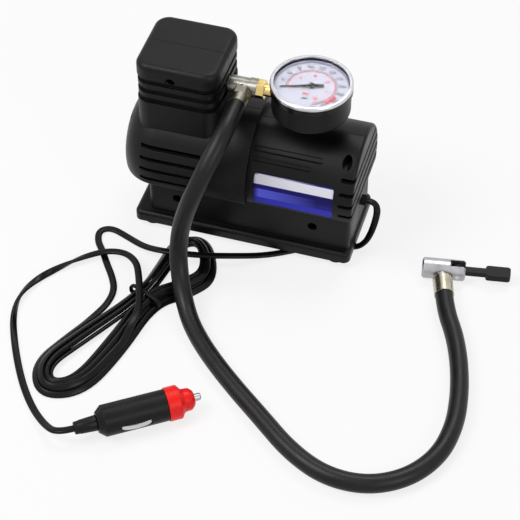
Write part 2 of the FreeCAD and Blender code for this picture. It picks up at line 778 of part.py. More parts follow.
def gear_frame():
    """The bent steel plate that carries the motor, the axle and the cylinder."""
    left = FRAME_RIGHT - FRAME_THICK
    top = SHELF_Z + SHELF_THICK
    wall = box(left, FRAME_RIGHT, -FRAME_HALF_WIDTH, FRAME_HALF_WIDTH, MOTOR_Z, top)
    round_end = rod(V(left, 0, MOTOR_Z), X, FRAME_HALF_WIDTH, FRAME_THICK)
    shelf = box(SHELF_LEFT, left, -SHELF_HALF_WIDTH, SHELF_HALF_WIDTH, SHELF_Z, top)
    frame = wall.fuse([round_end, shelf])
    cuts = [
        rod(V(left - 1, 0, MOTOR_Z), X, MOTOR_NOSE_R + FIT, FRAME_THICK + 2),
        rod(V(left - 1, 0, GEAR_Z), X, AXLE_R, FRAME_THICK + 2),
        rod(V(CYL_X, 0, SHELF_Z - 1), Z, BORE_R + CYL_WALL + FIT, SHELF_THICK + 2),
    ]
    cuts += [rod(place, Z, BOLT_R, SHELF_THICK) for place in bolt_places(SHELF_Z)]
    cuts += [rod(place, X, BOLT_R, FRAME_THICK) for place in motor_bolt_places(left)]
    return frame.cut(cuts).removeSplitter()


def motor_bolt_places(x):
    return [V(x, side * MOTOR_R / 2, MOTOR_Z) for side in (-1, 1)]


def frame_screws():
    left = FRAME_RIGHT - FRAME_THICK
    screws = [screw(place, X, BOLT_HEAD_R, BOLT_HEAD_HIGH, BOLT_R, FRAME_THICK)
              for place in motor_bolt_places(left)]
    return Part.makeCompound(screws)


# Crank, piston and cylinder


def rod_plane():
    """The X range of the connecting rod."""
    return CYL_X - ROD_THICK / 2, CYL_X + ROD_THICK / 2


def crank_pin_z():
    return GEAR_Z - CRANK_THROW


def crank_pin():
    left = rod_plane()[0] - 0.5
    return rod(V(left, 0, crank_pin_z()), X, PIN_R, CRANK_LEFT - PIN_GAP - left)


def crown_z():
    return crank_pin_z() + ROD_LENGTH


def piston_rod():
    """Rod and piston in one piece: the piston rocks in its bore on a cup seal."""
    left, right = rod_plane()
    eye_z = crank_pin_z()
    disc_top = crown_z() - RETAINER_THICK - SEAL_THICK
    disc = rod(V(CYL_X, 0, disc_top - PISTON_THICK), Z, PISTON_R, PISTON_THICK)
    eye = rod(V(left, 0, eye_z), X, ROD_EYE_R, ROD_THICK)
    half = ROD_WIDE / 2
    shank = box(left, right, -half, half, eye_z, disc_top - PISTON_THICK / 2)
    flare = Part.makeCone(half, PISTON_R * 0.8, PISTON_THICK * 1.6,
                          V(CYL_X, 0, disc_top - PISTON_THICK * 2.6), Z)
    hole = rod(V(left, 0, eye_z), X, PIN_R, ROD_THICK)
    return disc.fuse([eye, shank, flare]).cut(hole).removeSplitter()


def piston_seal():
    """The cup seal: a disc with a lip that rubs on the bore."""
    low = crown_z() - RETAINER_THICK - SEAL_THICK
    cup = rod(V(CYL_X, 0, low), Z, BORE_R - RUNNING, SEAL_THICK + RETAINER_THICK)
    return cup.cut(rod(V(CYL_X, 0, low + SEAL_THICK), Z, BORE_R - 1.2, RETAINER_THICK))


def seal_retainer():
    low = crown_z() - RETAINER_THICK
    disc = rod(V(CYL_X, 0, low), Z, RETAINER_R, RETAINER_THICK)
    return disc.makeChamfer(0.3, edges_at_z(disc, crown_z()))


def cylinder():
    """The bore with its cooling fins, which stands on the frame's shelf."""
    outer = BORE_R + CYL_WALL
    parts = [rod(V(CYL_X, 0, CYL_BOTTOM), Z, outer, CYL_TOP - CYL_BOTTOM)]
    shelf_top = SHELF_Z + SHELF_THICK
    parts.append(rod(V(CYL_X, 0, shelf_top), Z, FIN_R, FLANGE_THICK))
    for k in range(FIN_COUNT):
        z = shelf_top + FLANGE_THICK + (k + 0.6) * FIN_PITCH
        parts.append(rod(V(CYL_X, 0, z), Z, FIN_R, FIN_THICK))
    body = fuse_all(parts)
    return body.cut(rod(V(CYL_X, 0, CYL_BOTTOM - 1), Z, BORE_R, CYL_TOP - CYL_BOTTOM + 2))


def bolt_places(z):
    return [V(CYL_X + dx * BOLT_OFFSET, dy * BOLT_OFFSET, z) for dx in (-1, 1) for dy in (-1, 1)]


def bolt_seat_z():
    """The level of the sunk seats, at which the bolts' heads end flush with the block."""
    return CYL_TOP + GASKET_THICK + BLOCK_HIGH - BOLT_HEAD_HIGH


def head_gasket():
    plate = rounded_prism(CYL_X - BLOCK_HALF, CYL_X + BLOCK_HALF, -BLOCK_HALF, BLOCK_HALF,
                          CYL_TOP, CYL_TOP + GASKET_THICK, BLOCK_CORNER)
    cuts = [rod(V(CYL_X, 0, CYL_TOP - 1), Z, BORE_R, GASKET_THICK + 2)]
    cuts += [rod(place, Z, BOLT_R, GASKET_THICK) for place in bolt_places(CYL_TOP)]
    return plate.cut(cuts)


def cylinder_head():
    """The block over the bore, with the outlet valve's chamber and the outlet's port."""
    low = CYL_TOP + GASKET_THICK
    block = rounded_prism(CYL_X - BLOCK_HALF, CYL_X + BLOCK_HALF, -BLOCK_HALF, BLOCK_HALF,
                          low, low + BLOCK_HIGH, BLOCK_CORNER)
    port_left = CYL_X + BLOCK_HALF - THREAD_DEEP
    cuts = [
        rod(V(CYL_X, 0, low + CHAMBER_FLOOR), Z, CHAMBER_R, CHAMBER_HIGH),
        rod(V(CYL_X, 0, low), Z, VALVE_PORT_R, CHAMBER_FLOOR),
        rod(V(CYL_X, 0, OUTLET_Z), X, OUTLET_BORE_R, BLOCK_HALF),
        rod(V(port_left, 0, OUTLET_Z), X, THREAD_R, THREAD_DEEP),
    ]
    cuts += [rod(place, Z, BOLT_R, BLOCK_HIGH) for place in bolt_places(low)]
    cuts += [rod(place, Z, BOLT_HEAD_R + FIT, BLOCK_HIGH) for place in bolt_places(bolt_seat_z())]
    return block.cut(cuts)


def outlet_valve():
    z = CYL_TOP + GASKET_THICK + CHAMBER_FLOOR
    return rod(V(CYL_X, 0, z), Z, VALVE_R, VALVE_THICK)


def head_screws():
    seat = bolt_seat_z()
    screws = [screw(place, -Z, BOLT_HEAD_R, BOLT_HEAD_HIGH, BOLT_R, seat - SHELF_Z)
              for place in bolt_places(seat)]
    return Part.makeCompound(screws)


# Outlet, tee and gauge


def tee_fitting():
    """The plated outlet: a thread in the head, a round body and a branch for the hose."""
    left = CYL_X + BLOCK_HALF - THREAD_DEEP
    profile = [(left, 0), (left, THREAD_R), (TEE_LEFT, THREAD_R), (TEE_LEFT, TEE_R),
               (TEE_COLLAR_LEFT, TEE_R), (TEE_COLLAR_LEFT, TEE_COLLAR_R),
               (TEE_COLLAR_RIGHT, TEE_COLLAR_R), (TEE_COLLAR_RIGHT, 0)]
    body = turned(profile, V(0, 0, OUTLET_Z), X)
    body = body.fuse(rod(V(BRANCH_X, 0, OUTLET_Z), -Y, BRANCH_R, BRANCH_LONG))
    bores = [
        rod(V(left - 1, 0, OUTLET_Z), X, OUTLET_BORE_R, TEE_COLLAR_RIGHT - left + 2),
        rod(V(BRANCH_X, 0, OUTLET_Z), -Y, BRANCH_BORE_R, BRANCH_LONG + 1),
    ]
    return body.cut(bores)


def gauge_stem():
    """The gauge's brass connector: a hexagon, a neck and its foot in the case."""
    hexagon = hex_bar(V(TEE_COLLAR_RIGHT, 0, OUTLET_Z), X, STEM_HEX,
                      STEM_HEX_RIGHT - TEE_COLLAR_RIGHT)
    foot_right = GAUGE_X - TUBE_COIL_R + TUBE_R
    neck = rod(V(STEM_HEX_RIGHT, 0, OUTLET_Z), X, STEM_R, foot_right - STEM_HEX_RIGHT)
    return hexagon.fuse(neck)


def gauge_case():
    case = rod(V(GAUGE_X, 0, GAUGE_BOTTOM), Z, CASE_R, DIAL_Z - GAUGE_BOTTOM)
    case = case.makeFillet(CASE_ROUND, edges_at_z(case, GAUGE_BOTTOM))
    room = rod(V(GAUGE_X, 0, GAUGE_BOTTOM + CASE_WALL), Z, CASE_R - CASE_WALL, GAUGE_TOP)
    hole = rod(V(GAUGE_X, 0, OUTLET_Z), -X, STEM_R, CASE_R + 5)
    return case.cut([room, hole])


def gauge_bezel():
    """The rim that holds the dial and the lens on the case."""
    low = GAUGE_TOP - BEZEL_HIGH
    ring = rod(V(GAUGE_X, 0, low), Z, BEZEL_R, BEZEL_HIGH)
    ring = ring.makeFillet(1.2, edges_at_z(ring, GAUGE_TOP))
    seat = GAUGE_TOP - BEZEL_LIP_THICK
    room = rod(V(GAUGE_X, 0, low), Z, CASE_R, seat - low)
    window = rod(V(GAUGE_X, 0, low), Z, BEZEL_R - BEZEL_LIP, 2 * BEZEL_HIGH)
    return ring.cut([room, window])


def gauge_lens():
    top = GAUGE_TOP - BEZEL_LIP_THICK
    return rod(V(GAUGE_X, 0, top - LENS_THICK), Z, CASE_R - FIT, LENS_THICK)


def gauge_dial():
    dial = rod(V(GAUGE_X, 0, DIAL_Z), Z, CASE_R - FIT, DIAL_THICK)
    return dial.cut(rod(V(GAUGE_X, 0, DIAL_Z), Z, NEEDLE_SPINDLE_R + 2 * FIT, DIAL_THICK))


def gauge_needle():
    """Pointer, hub and spindle, pointing at zero."""
    half = NEEDLE_WIDE / 2
    centre = V(GAUGE_X, 0, NEEDLE_Z)
    tip, tail = NEEDLE_LONG, -NEEDLE_TAIL
    corners = [V(tail, -half, 0), V(0, -half, 0), V(tip, -0.2, 0),
               V(tip, 0.2, 0), V(0, half, 0), V(tail, half, 0)]
    corners = [centre + corner for corner in corners]
    pointer = Part.Face(Part.makePolygon(corners + corners[:1])).extrude(Z * NEEDLE_THICK)
    pointer.rotate(centre, Z, NEEDLE_REST_ANGLE)
    hub = rod(centre, Z, NEEDLE_HUB_R, 2 * NEEDLE_THICK)
    spindle_low = TUBE_Z - TUBE_R
    spindle = rod(V(GAUGE_X, 0, spindle_low), Z, NEEDLE_SPINDLE_R, NEEDLE_Z - spindle_low)
    return pointer.fuse([hub, spindle])


def bourdon_tube():
    """The curved tube that straightens under pressure: three quarters of a ring."""
    start = V(GAUGE_X - TUBE_COIL_R, 0, TUBE_Z)
    section = Part.Wire(Part.Circle(start, Y, TUBE_R).toShape())
    ring = Part.Face(section).revolve(V(GAUGE_X, 0, TUBE_Z), Z, 270)
    hole = rod(V(GAUGE_X, 0, OUTLET_Z), -X, STEM_R, CASE_R)
    return ring.cut(hole)


def gauge_movement():
    """The plate below the dial that carries the pointer's spindle."""
    low = GAUGE_BOTTOM + CASE_WALL
    top = TUBE_Z - TUBE_R + 4
    plate = rod(V(GAUGE_X, 0, top - MOVEMENT_THICK), Z, MOVEMENT_R, MOVEMENT_THICK)
    posts = []
    for side in (-1, 1):
        post = V(GAUGE_X, side * (MOVEMENT_R - 1.5 * MOVEMENT_POST_R), low)
        posts.append(rod(post, Z, MOVEMENT_POST_R, top - low - MOVEMENT_THICK / 2))
    bore = rod(V(GAUGE_X, 0, low), Z, NEEDLE_SPINDLE_R + FIT, top - low + 1)
    return plate.fuse(posts).cut(bore)


# Cords and hose


def route_wire(points):
    """Straight runs joined by arcs as large as the runs allow; returns wire and radii."""
    points = [V(*p) for p in points]
    edges, radii, start = [], [], points[0]
    for before, corner, after in zip(points, points[1:], points[2:]):
        into = (corner - before)
        out = (after - corner)
        turn = into.getAngle(out)
        trim = 0.45 * min(into.Length, out.Length)
        radii.append(trim / math.tan(turn / 2))
        a = corner - into * (trim / into.Length)
        b = corner + out * (trim / out.Length)
        chord = (a + b) * 0.5
        rise = math.tan(turn / 4) / math.tan(turn / 2)
        edges.append(Part.LineSegment(start, a).toShape())
        edges.append(Part.Arc(a, chord + (corner - chord) * rise, b).toShape())
        start = b
    edges.append(Part.LineSegment(start, points[-1]).toShape())
    return Part.Wire(edges), radii


def pipe(wire, radius):
    first = wire.OrderedEdges[0]
    start = first.valueAt(first.FirstParameter)
    along = first.tangentAt(first.FirstParameter)
    ring = Part.Wire(Part.Circle(start, along, radius).toShape())
    return wire.makePipeShell([ring], True, False)


def tube(name, points, radius):
    wire, radii = route_wire(points)
    solid = pipe(wire, radius)
    share = solid.Volume / (math.pi * radius ** 2 * wire.Length)
    print(name, "length %.0f" % wire.Length, "least radius %.1f" % min(radii),
          "volume share %.4f" % share)
    print(" ", " ".join("%.0f" % r for r in radii))
    return solid


def hose():
    return tube("hose", hose_route(), HOSE_R)


def hose_ferrule_upper():
    """The crimped sleeve at the tee: a hexagon and a round skirt over the hose's end."""
    start = V(BRANCH_X, -FERRULE_START, OUTLET_Z)
    nut = hex_bar(start, -Y, 2 * FERRULE_R - 0.8, FERRULE_HEX_LONG)
    skirt = rod(start - Y * FERRULE_HEX_LONG, -Y, FERRULE_R, FERRULE_LONG - FERRULE_HEX_LONG)
    end = start - Y * FERRULE_LONG
    bore = rod(start, -Y, BRANCH_R, BRANCH_LONG - FERRULE_START)
    passage = rod(start, -Y, OUTLET_BORE_R, (start - end).Length)
    return nut.fuse(skirt).cut([bore, passage])


def biarc(p0, t0, p1, t1):
    """Two arcs, tangent to each other, from p0 along t0 to p1 along t1."""
    v, t = p1 - p0, t0 + t1
    k = 2 * (1 - t0.dot(t1))
    b = v.dot(t)
    if k > 1e-9:
        d = (-b + math.sqrt(b * b + k * v.dot(v))) / k
    else:
        d = v.dot(v) / (2 * b)
    q0, q1 = p0 + t0 * d, p1 - t1 * d
    joint = (q0 + q1) * 0.5
    return [arc_between(p0, q0, joint), arc_between(joint, q1, p1)]


def arc_between(a, corner, b):
    chord = (a + b) * 0.5
    turn = (corner - a).getAngle(b - corner)
    if turn < 1e-4:
        return Part.LineSegment(a, b).toShape()
    rise = math.tan(turn / 4) / math.tan(turn / 2)
    return Part.Arc(a, chord + (corner - chord) * rise, b).toShape()


def hank_stations():
    """One loop's marks: places along it, each with the step between neighbouring loops."""
    across = V(math.sin(math.radians(TIE_TURN)), -math.cos(math.radians(TIE_TURN)), 0)
    places = [(V(x, y, 0), LOBE_STEP) for x, y in HANK_LOOP]
    waist = [(TIE_CENTRE + across * (side * TIE_HALF_WIDTH), WAIST_STEP) for side in (-1, 1)]
    return waist[:1] + places[:5] + waist[1:] + places[5:]


def heading(before, place, after):
    """The direction at a mark: halfway between its two chords."""
    into, out = (place - before).normalize(), (after - place).normalize()
    return (into + out).normalize()


def hank_marks():
    """Places and tangents along the hank, in one layer inwards and the next one outwards."""
    stations = hank_stations()
    count = len(stations)
    turn_back = HANK_LOOPS * count + HANK_FIRST
    marks = []
    for step in range(HANK_FIRST, turn_back + HANK_CLIMB + HANK_OUTWARD + 1):
        k = step % count
        place, pitch = stations[k]
        along = heading(stations[k - 1][0], place, stations[(k + 1) % count][0])
        inside = V(-along.y, along.x, 0)
        back = max(0, step - turn_back - HANK_CLIMB)
        turns = (min(step, turn_back) - back) / count
        rise = min(max(step - turn_back, 0), HANK_CLIMB) / HANK_CLIMB
        point = place + inside * (turns * pitch) + Z * (CORD_R + HANK_LIFT + rise * HANK_LAYER)
        if k == HANK_TOP and rise == 1:
            point -= Y * HANK_TOP_BACK
        if 0 < rise < 1:
            along = (along + Z * HANK_SLOPE).normalize()
        marks.append((point, along))
    return marks


def cord_hank():
    marks = hank_marks()
    edges = []
    for (p0, t0), (p1, t1) in zip(marks, marks[1:]):
        edges += biarc(p0, t0, p1, t1)
    wire = Part.Wire(edges)
    solid = pipe(wire, CORD_R)
    share = solid.Volume / (math.pi * CORD_R ** 2 * wire.Length)
    print("hank length %.0f" % wire.Length, "volume share %.4f" % share,
          "least gap %.2f" % least_gap(wire))
    return solid


def least_gap(wire):
    """The smallest gap between strands of the hank that lie apart along it."""
    points = wire.discretize(Distance=2.0)
    apart = 20
    best = 1e9
    for i, p in enumerate(points):
        for q in points[i + apart:]:
            distance = p.distanceToPoint(q)
            if distance < best:
                best = distance
    return best - 2 * CORD_R


def cord_tie():
    """The band round the hank's waist."""
    strand_top = CORD_R * 2 + HANK_LIFT + 2 * HANK_LAYER
    half = TIE_HALF_WIDTH + CORD_R + 0.1
    outer = rounded_prism(-TIE_WIDE / 2, TIE_WIDE / 2, -half - TIE_THICK, half + TIE_THICK,
                          0.05, strand_top + 0.2 + TIE_THICK, 0.3)
    room = box(-TIE_WIDE, TIE_WIDE, -half, half, 0.05 + TIE_THICK, strand_top + 0.2)
    band = outer.cut(room)
    band.Placement = FreeCAD.Placement(TIE_CENTRE, FreeCAD.Rotation(Z, TIE_TURN))
    return band


def lead_route():
    """The lead from the gland to the hank, which it enters in line."""
    place, along = hank_marks()[0]
    return list(LEAD_ROUTE) + [tuple(place - along * LEAD_RUN_IN), tuple(place)]


def tail_route():
    """The cord from the hank's end, over the strands beside it, to the plug."""
    place, along = hank_marks()[-1]
    back = V(math.cos(math.radians(PLUG_TURN)), math.sin(math.radians(PLUG_TURN)), 0)
    return ([tuple(place), tuple(place + along * TAIL_RUN_OUT)] + list(TAIL_ROUTE)
            + [tuple(PLUG_PLACE - back * TAIL_RUN_IN), tuple(PLUG_PLACE)])


def hose_route():
    start, along = side_axis()
    turn = FreeCAD.Rotation(Z, CHUCK_TURN)
    end = CHUCK_PLACE + turn.multVec(start + along * LOWER_FERRULE_END)
    last = end + turn.multVec(along) * HOSE_RUN_IN
    return list(HOSE_ROUTE) + [tuple(last), tuple(end)]


# Chuck


def chuck_placed(solid):
    solid.Placement = FreeCAD.Placement(CHUCK_PLACE, FreeCAD.Rotation(Z, CHUCK_TURN))
    return solid


def side_axis():
    """Start and direction of the chuck's side inlet, in the chuck's own axes."""
    angle = math.radians(CHUCK_SIDE_TURN - CHUCK_TURN)
    return V(CHUCK_SIDE_S, 0, 0), V(math.cos(angle), math.sin(angle), 0)


def chuck_body():
    """The plated chuck: a mouth for the valve, a side inlet and two ears for the lever."""
    body = rod(V(0, 0, 0), X, CHUCK_R, CHUCK_LONG)
    rims = [e for e in body.Edges if isinstance(e.Curve, Part.Circle)]
    body = body.makeChamfer(CHUCK_EDGE, rims)
    start, along = side_axis()
    body = body.fuse(rod(start, along, INLET_R, COLLAR_START + INLET_STEP))
    half = LEVER_SLOT_WIDE / 2
    reach = 2 * CHUCK_R
    cuts = [
        rod(V(0, 0, 0), X, CHUCK_MOUTH_R, SEAL_START + SEAL_DEEP),
        rod(V(0, 0, 0), X, CHUCK_CHAMBER_R, CHUCK_CHAMBER_END),
        rod(start, along, OUTLET_BORE_R, reach),
        box(LEVER_SLOT_S, CHUCK_LONG + 1, -half, half, -reach, reach),
        rod(V(LEVER_PIN_S, -reach, 0), Y, LEVER_PIN_R, 2 * reach),
    ]
    return chuck_placed(body.cut(cuts))


def chuck_seal():
    ring = rod(V(SEAL_START, 0, 0), X, CHUCK_MOUTH_R, SEAL_DEEP)
    return chuck_placed(ring.cut(rod(V(SEAL_START, 0, 0), X, VALVE_BORE_R, SEAL_DEEP)))


def valve_pin():
    """The pin that opens the tyre's valve, on a base with a port beside it."""
    right = CHUCK_CHAMBER_END
    pin = rod(V(right - PRESS_PIN_LONG, 0, 0), X, PRESS_PIN_R, PRESS_PIN_LONG)
    base = rod(V(right - PRESS_BASE_THICK, 0, 0), X, CHUCK_CHAMBER_R, PRESS_BASE_THICK)
    port_y = (CHUCK_CHAMBER_R + PRESS_PIN_R) / 2
    port = rod(V(right - PRESS_BASE_THICK, port_y, 0), X, PRESS_PORT_R, PRESS_BASE_THICK)
    return chuck_placed(pin.fuse(base).cut(port))


def chuck_collar():
    start, along = side_axis()
    seat = COLLAR_START + INLET_STEP
    collar = rod(start + along * seat, along, COLLAR_R, COLLAR_END - seat)
    return chuck_placed(collar.cut(rod(start, along, OUTLET_BORE_R, COLLAR_END)))


def hose_ferrule_lower():
    start, along = side_axis()
    sleeve = rod(start + along * COLLAR_END, along, LOWER_FERRULE_R,
                 LOWER_FERRULE_END - COLLAR_END)
    return chuck_placed(sleeve.cut(rod(start, along, OUTLET_BORE_R, LOWER_FERRULE_END)))


def chuck_lever():
    """The thumb lever: an eye on the pin, a narrow neck and a broad pad, drooping a little."""
    half = LEVER_WIDE / 2
    pin = V(LEVER_PIN_S, 0, 0)
    eye = rod(pin - Y * half, Y, LEVER_EYE_R, LEVER_WIDE)
    thick = LEVER_NECK_THICK / 2
    neck = box(LEVER_PIN_S, LEVER_NECK_END + LEVER_PAD_CORNER, -half, half, -thick, thick)
    pad_half, pad_thick = LEVER_PAD_WIDE / 2, LEVER_PAD_THICK / 2
    pad = rounded_prism(LEVER_NECK_END, LEVER_END, -pad_half, pad_half,
                        -pad_thick, pad_thick, LEVER_PAD_CORNER)
    lever = eye.fuse([neck, pad]).removeSplitter()
    lever = lever.cut(rod(pin - Y * half, Y, LEVER_PIN_R + RUNNING, LEVER_WIDE))
    lever.rotate(pin, Y, LEVER_DROOP)
    return chuck_placed(lever)


def lever_pin():
    half = math.sqrt(CHUCK_R ** 2 - LEVER_PIN_R ** 2)
    return chuck_placed(rod(V(LEVER_PIN_S, -half, 0), Y, LEVER_PIN_R, 2 * half))


# Plug


def plug_placed(solid):
    solid.Placement = FreeCAD.Placement(PLUG_PLACE, FreeCAD.Rotation(Z, PLUG_TURN))
    return solid


def plug_relief():
    profile = [(0, 0), (0, CORD_R + 0.7), (RELIEF_LONG * 0.75, RELIEF_R), (RELIEF_LONG, RELIEF_R),
               (RELIEF_LONG, 0)]
    return plug_placed(turned(profile, V(0, 0, 0), X))


def plug_body():
    start = RELIEF_LONG
    profile = [(start, 0), (start, PLUG_TAPER_R), (start + PLUG_TAPER_LONG, PLUG_BODY_R),
               (PLUG_BODY_END, PLUG_BODY_R), (PLUG_BODY_END, 0)]
    body = turned(profile, V(0, 0, 0), X)
    cuts = [rod(V(FUSE_LEFT, 0, 0), X, FUSE_R, PLUG_BODY_END)]
    for side in (-1, 1):
        slot = contact_window(side, CONTACT_THICK + 0.2)
        cuts.append(slot)
    return plug_placed(body.cut(cuts))


def contact_window(side, deep):
    half = CONTACT_WIDE / 2
    near = side * (PLUG_BODY_R - deep)
    far = side * (PLUG_BODY_R + 2)
    return box(CONTACT_LEFT, CONTACT_RIGHT, min(near, far), max(near, far), -half, half)


def plug_contacts():
    """The two sprung side contacts, bowed out of the body."""
    half = CONTACT_WIDE / 2 - FIT
    strips = []
    for side in (-1, 1):
        seat = side * (PLUG_BODY_R - CONTACT_THICK - 0.2)
        middle = (CONTACT_LEFT + CONTACT_RIGHT) / 2
        left, right = V(CONTACT_LEFT + FIT, seat, -half), V(CONTACT_RIGHT - FIT, seat, -half)
        crown = V(middle, seat + side * (CONTACT_BULGE + CONTACT_THICK), -half)
        bow = Part.Wire([Part.Arc(left, crown, right).toShape(),
                         Part.LineSegment(right, left).toShape()])
        strips.append(Part.Face(bow).extrude(Z * 2 * half))
    return plug_placed(Part.makeCompound(strips))


def plug_nose():
    """The stepped red cap that screws on and holds the fuse and the tip."""
    ring_end = PLUG_BODY_END + NOSE_RING_LONG
    profile = [(PLUG_BODY_END, 0), (PLUG_BODY_END, NOSE_RING_R), (ring_end, NOSE_RING_R),
               (ring_end, NOSE_R), (NOSE_1_END - 1, NOSE_R), (NOSE_1_END, NOSE_R - 1),
               (NOSE_1_END, NOSE_2_R), (NOSE_2_END, NOSE_2_R), (NOSE_2_END, NOSE_3_R),
               (NOSE_END, NOSE_3_R), (NOSE_END, 0)]
    cap = turned(profile, V(0, 0, 0), X)
    inner_end = TIP_FLANGE_S + TIP_FLANGE_LONG
    room = rod(V(PLUG_BODY_END, 0, 0), X, TIP_FLANGE_R + FIT, inner_end - PLUG_BODY_END)
    bore = rod(V(PLUG_BODY_END, 0, 0), X, TIP_R + FIT, NOSE_END)
    return plug_placed(cap.cut([room, bore]))


def plug_tip():
    """The sprung centre contact; its flange stops it in the cap."""
    pin = rod(V(TIP_FLANGE_S, 0, 0), X, TIP_R, TIP_END - TIP_FLANGE_S)
    rim = [e for e in pin.Edges if all(abs(v.X - TIP_END) < 1e-6 for v in e.Vertexes)]
    pin = pin.makeFillet(TIP_ROUND, rim)
    return plug_placed(pin.fuse(rod(V(TIP_FLANGE_S, 0, 0), X, TIP_FLANGE_R, TIP_FLANGE_LONG)))


def plug_fuse():
    right = TIP_FLANGE_S - TIP_TRAVEL - 0.3
    return plug_placed(rod(V(FUSE_LEFT, 0, 0), X, FUSE_R - FIT, right - FUSE_LEFT))


# Gland and switch


def cord_gland():
    """The strain relief in the housing's right end."""
    wall = PLINTH_RIGHT - WALL
    place = V(wall, GLAND_Y, GLAND_Z)
    outer = rod(place, X, GLAND_R - GLAND_STEP, BODY_RIGHT - wall)
    flange = rod(place + X * WALL, X, GLAND_R, BODY_RIGHT + GLAND_LONG - PLINTH_RIGHT)
    inner = rod(place - X * GLAND_NUT_THICK, X, GLAND_R, GLAND_NUT_THICK)
    return outer.fuse([flange, inner])


def switch_body():
    """The switch's frame, with its flange on the drum and a room for the rocker."""
    face = MOTOR_END_R
    half, high = SWITCH_LONG / 2 - FIT, SWITCH_HIGH / 2 - FIT
    block = box(SWITCH_X - half, SWITCH_X + half, face - SWITCH_DEEP, face,
                SWITCH_Z - high, SWITCH_Z + high)
    wide, tall = half + SWITCH_FLANGE, high + SWITCH_FLANGE
    rim = rounded_prism(SWITCH_X - wide, SWITCH_X + wide, face, face + SWITCH_FLANGE,
                        SWITCH_Z - tall, SWITCH_Z + tall, SWITCH_CORNER)
    room_half = ROCKER_LONG / 2 + ROCKER_SWING
    room_high = ROCKER_HIGH / 2 + ROCKER_GAP
    room = box(SWITCH_X - room_half, SWITCH_X + room_half,
               face - SWITCH_DEEP + SWITCH_FLANGE, face + SWITCH_FLANGE,
               SWITCH_Z - room_high, SWITCH_Z + room_high)
    pins = rod(V(SWITCH_X, face - ROCKER_PIVOT_DEEP, SWITCH_Z - high), Z, ROCKER_PIN_R, 2 * high)
    return block.fuse(rim).cut([room, pins])


def switch_rocker():
    """The rocker, tilted to its off side, on pins in the switch's body."""
    pivot = V(SWITCH_X, MOTOR_END_R - ROCKER_PIVOT_DEEP, SWITCH_Z)
    long, high = ROCKER_LONG / 2, ROCKER_HIGH / 2
    top = ROCKER_PIVOT_DEEP + SWITCH_FLANGE
    foot = long - ROCKER_TAPER
    corners = [V(-long, top + ROCKER_CREST, 0), V(0, top - ROCKER_DIP, 0),
               V(long, top + ROCKER_CREST, 0), V(foot, -ROCKER_BELOW, 0),
               V(-foot, -ROCKER_BELOW, 0)]
    corners = [pivot + corner - Z * high for corner in corners]
    paddle = Part.Face(Part.makePolygon(corners + corners[:1])).extrude(Z * 2 * high)
    pin_half = SWITCH_HIGH / 2 - FIT
    pins = rod(pivot - Z * pin_half, Z, ROCKER_PIN_R - RUNNING, 2 * pin_half)
    rocker = paddle.fuse(pins)
    rocker.rotate(pivot, Z, ROCKER_TILT)
    return rocker


def nodes():
    front, rear = housing()
    return {
        "housing_front": front, "housing_rear": rear,
        "rubber_feet": rubber_feet(), "housing_screws": housing_screws(),
        "motor_can": motor_can(), "motor_end_cap": motor_end_cap(),
        "motor_magnets": motor_magnets(), "rotor_core": rotor_core(),
        "motor_shaft": motor_shaft(), "commutator": commutator(), "pinion": pinion(),
        "crank_gear": crank_gear(), "gear_axle": gear_axle(), "gear_frame": gear_frame(),
        "frame_screws": frame_screws(), "crank_pin": crank_pin(), "piston_rod": piston_rod(),
        "piston_seal": piston_seal(), "seal_retainer": seal_retainer(), "cylinder": cylinder(),
        "head_gasket": head_gasket(), "cylinder_head": cylinder_head(),
        "outlet_valve": outlet_valve(), "head_screws": head_screws(),
        "tee_fitting": tee_fitting(), "gauge_stem": gauge_stem(), "gauge_case": gauge_case(),
        "gauge_bezel": gauge_bezel(), "gauge_lens": gauge_lens(), "gauge_dial": gauge_dial(),
        "gauge_needle": gauge_needle(), "bourdon_tube": bourdon_tube(),
        "gauge_movement": gauge_movement(), "hose_ferrule_upper": hose_ferrule_upper(),
        "hose": hose(), "hose_ferrule_lower": hose_ferrule_lower(),
        "chuck_collar": chuck_collar(), "chuck_body": chuck_body(), "chuck_seal": chuck_seal(),
        "valve_pin": valve_pin(), "chuck_lever": chuck_lever(), "lever_pin": lever_pin(),
        "cord_gland": cord_gland(), "cord_lead": tube("lead", lead_route(), CORD_R),
        "cord_hank": cord_hank(), "cord_tie": cord_tie(),
        "cord_tail": tube("tail", tail_route(), CORD_R), "plug_relief": plug_relief(),
        "plug_body": plug_body(), "plug_contacts": plug_contacts(), "plug_nose": plug_nose(),
        "plug_tip": plug_tip(), "plug_fuse": plug_fuse(),
        "switch_body": switch_body(), "switch_rocker": switch_rocker(),
    }


def main():
    os.makedirs("parts", exist_ok=True)
    for name, shape in nodes().items():
        shape.exportStep("parts/%s.step" % name)


main()
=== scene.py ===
"""The look of a small tyre inflator: finishes, printed dial and label, hose, cord and plug."""
import json
import math

import bmesh
import bpy
from mathutils import Matrix, Vector

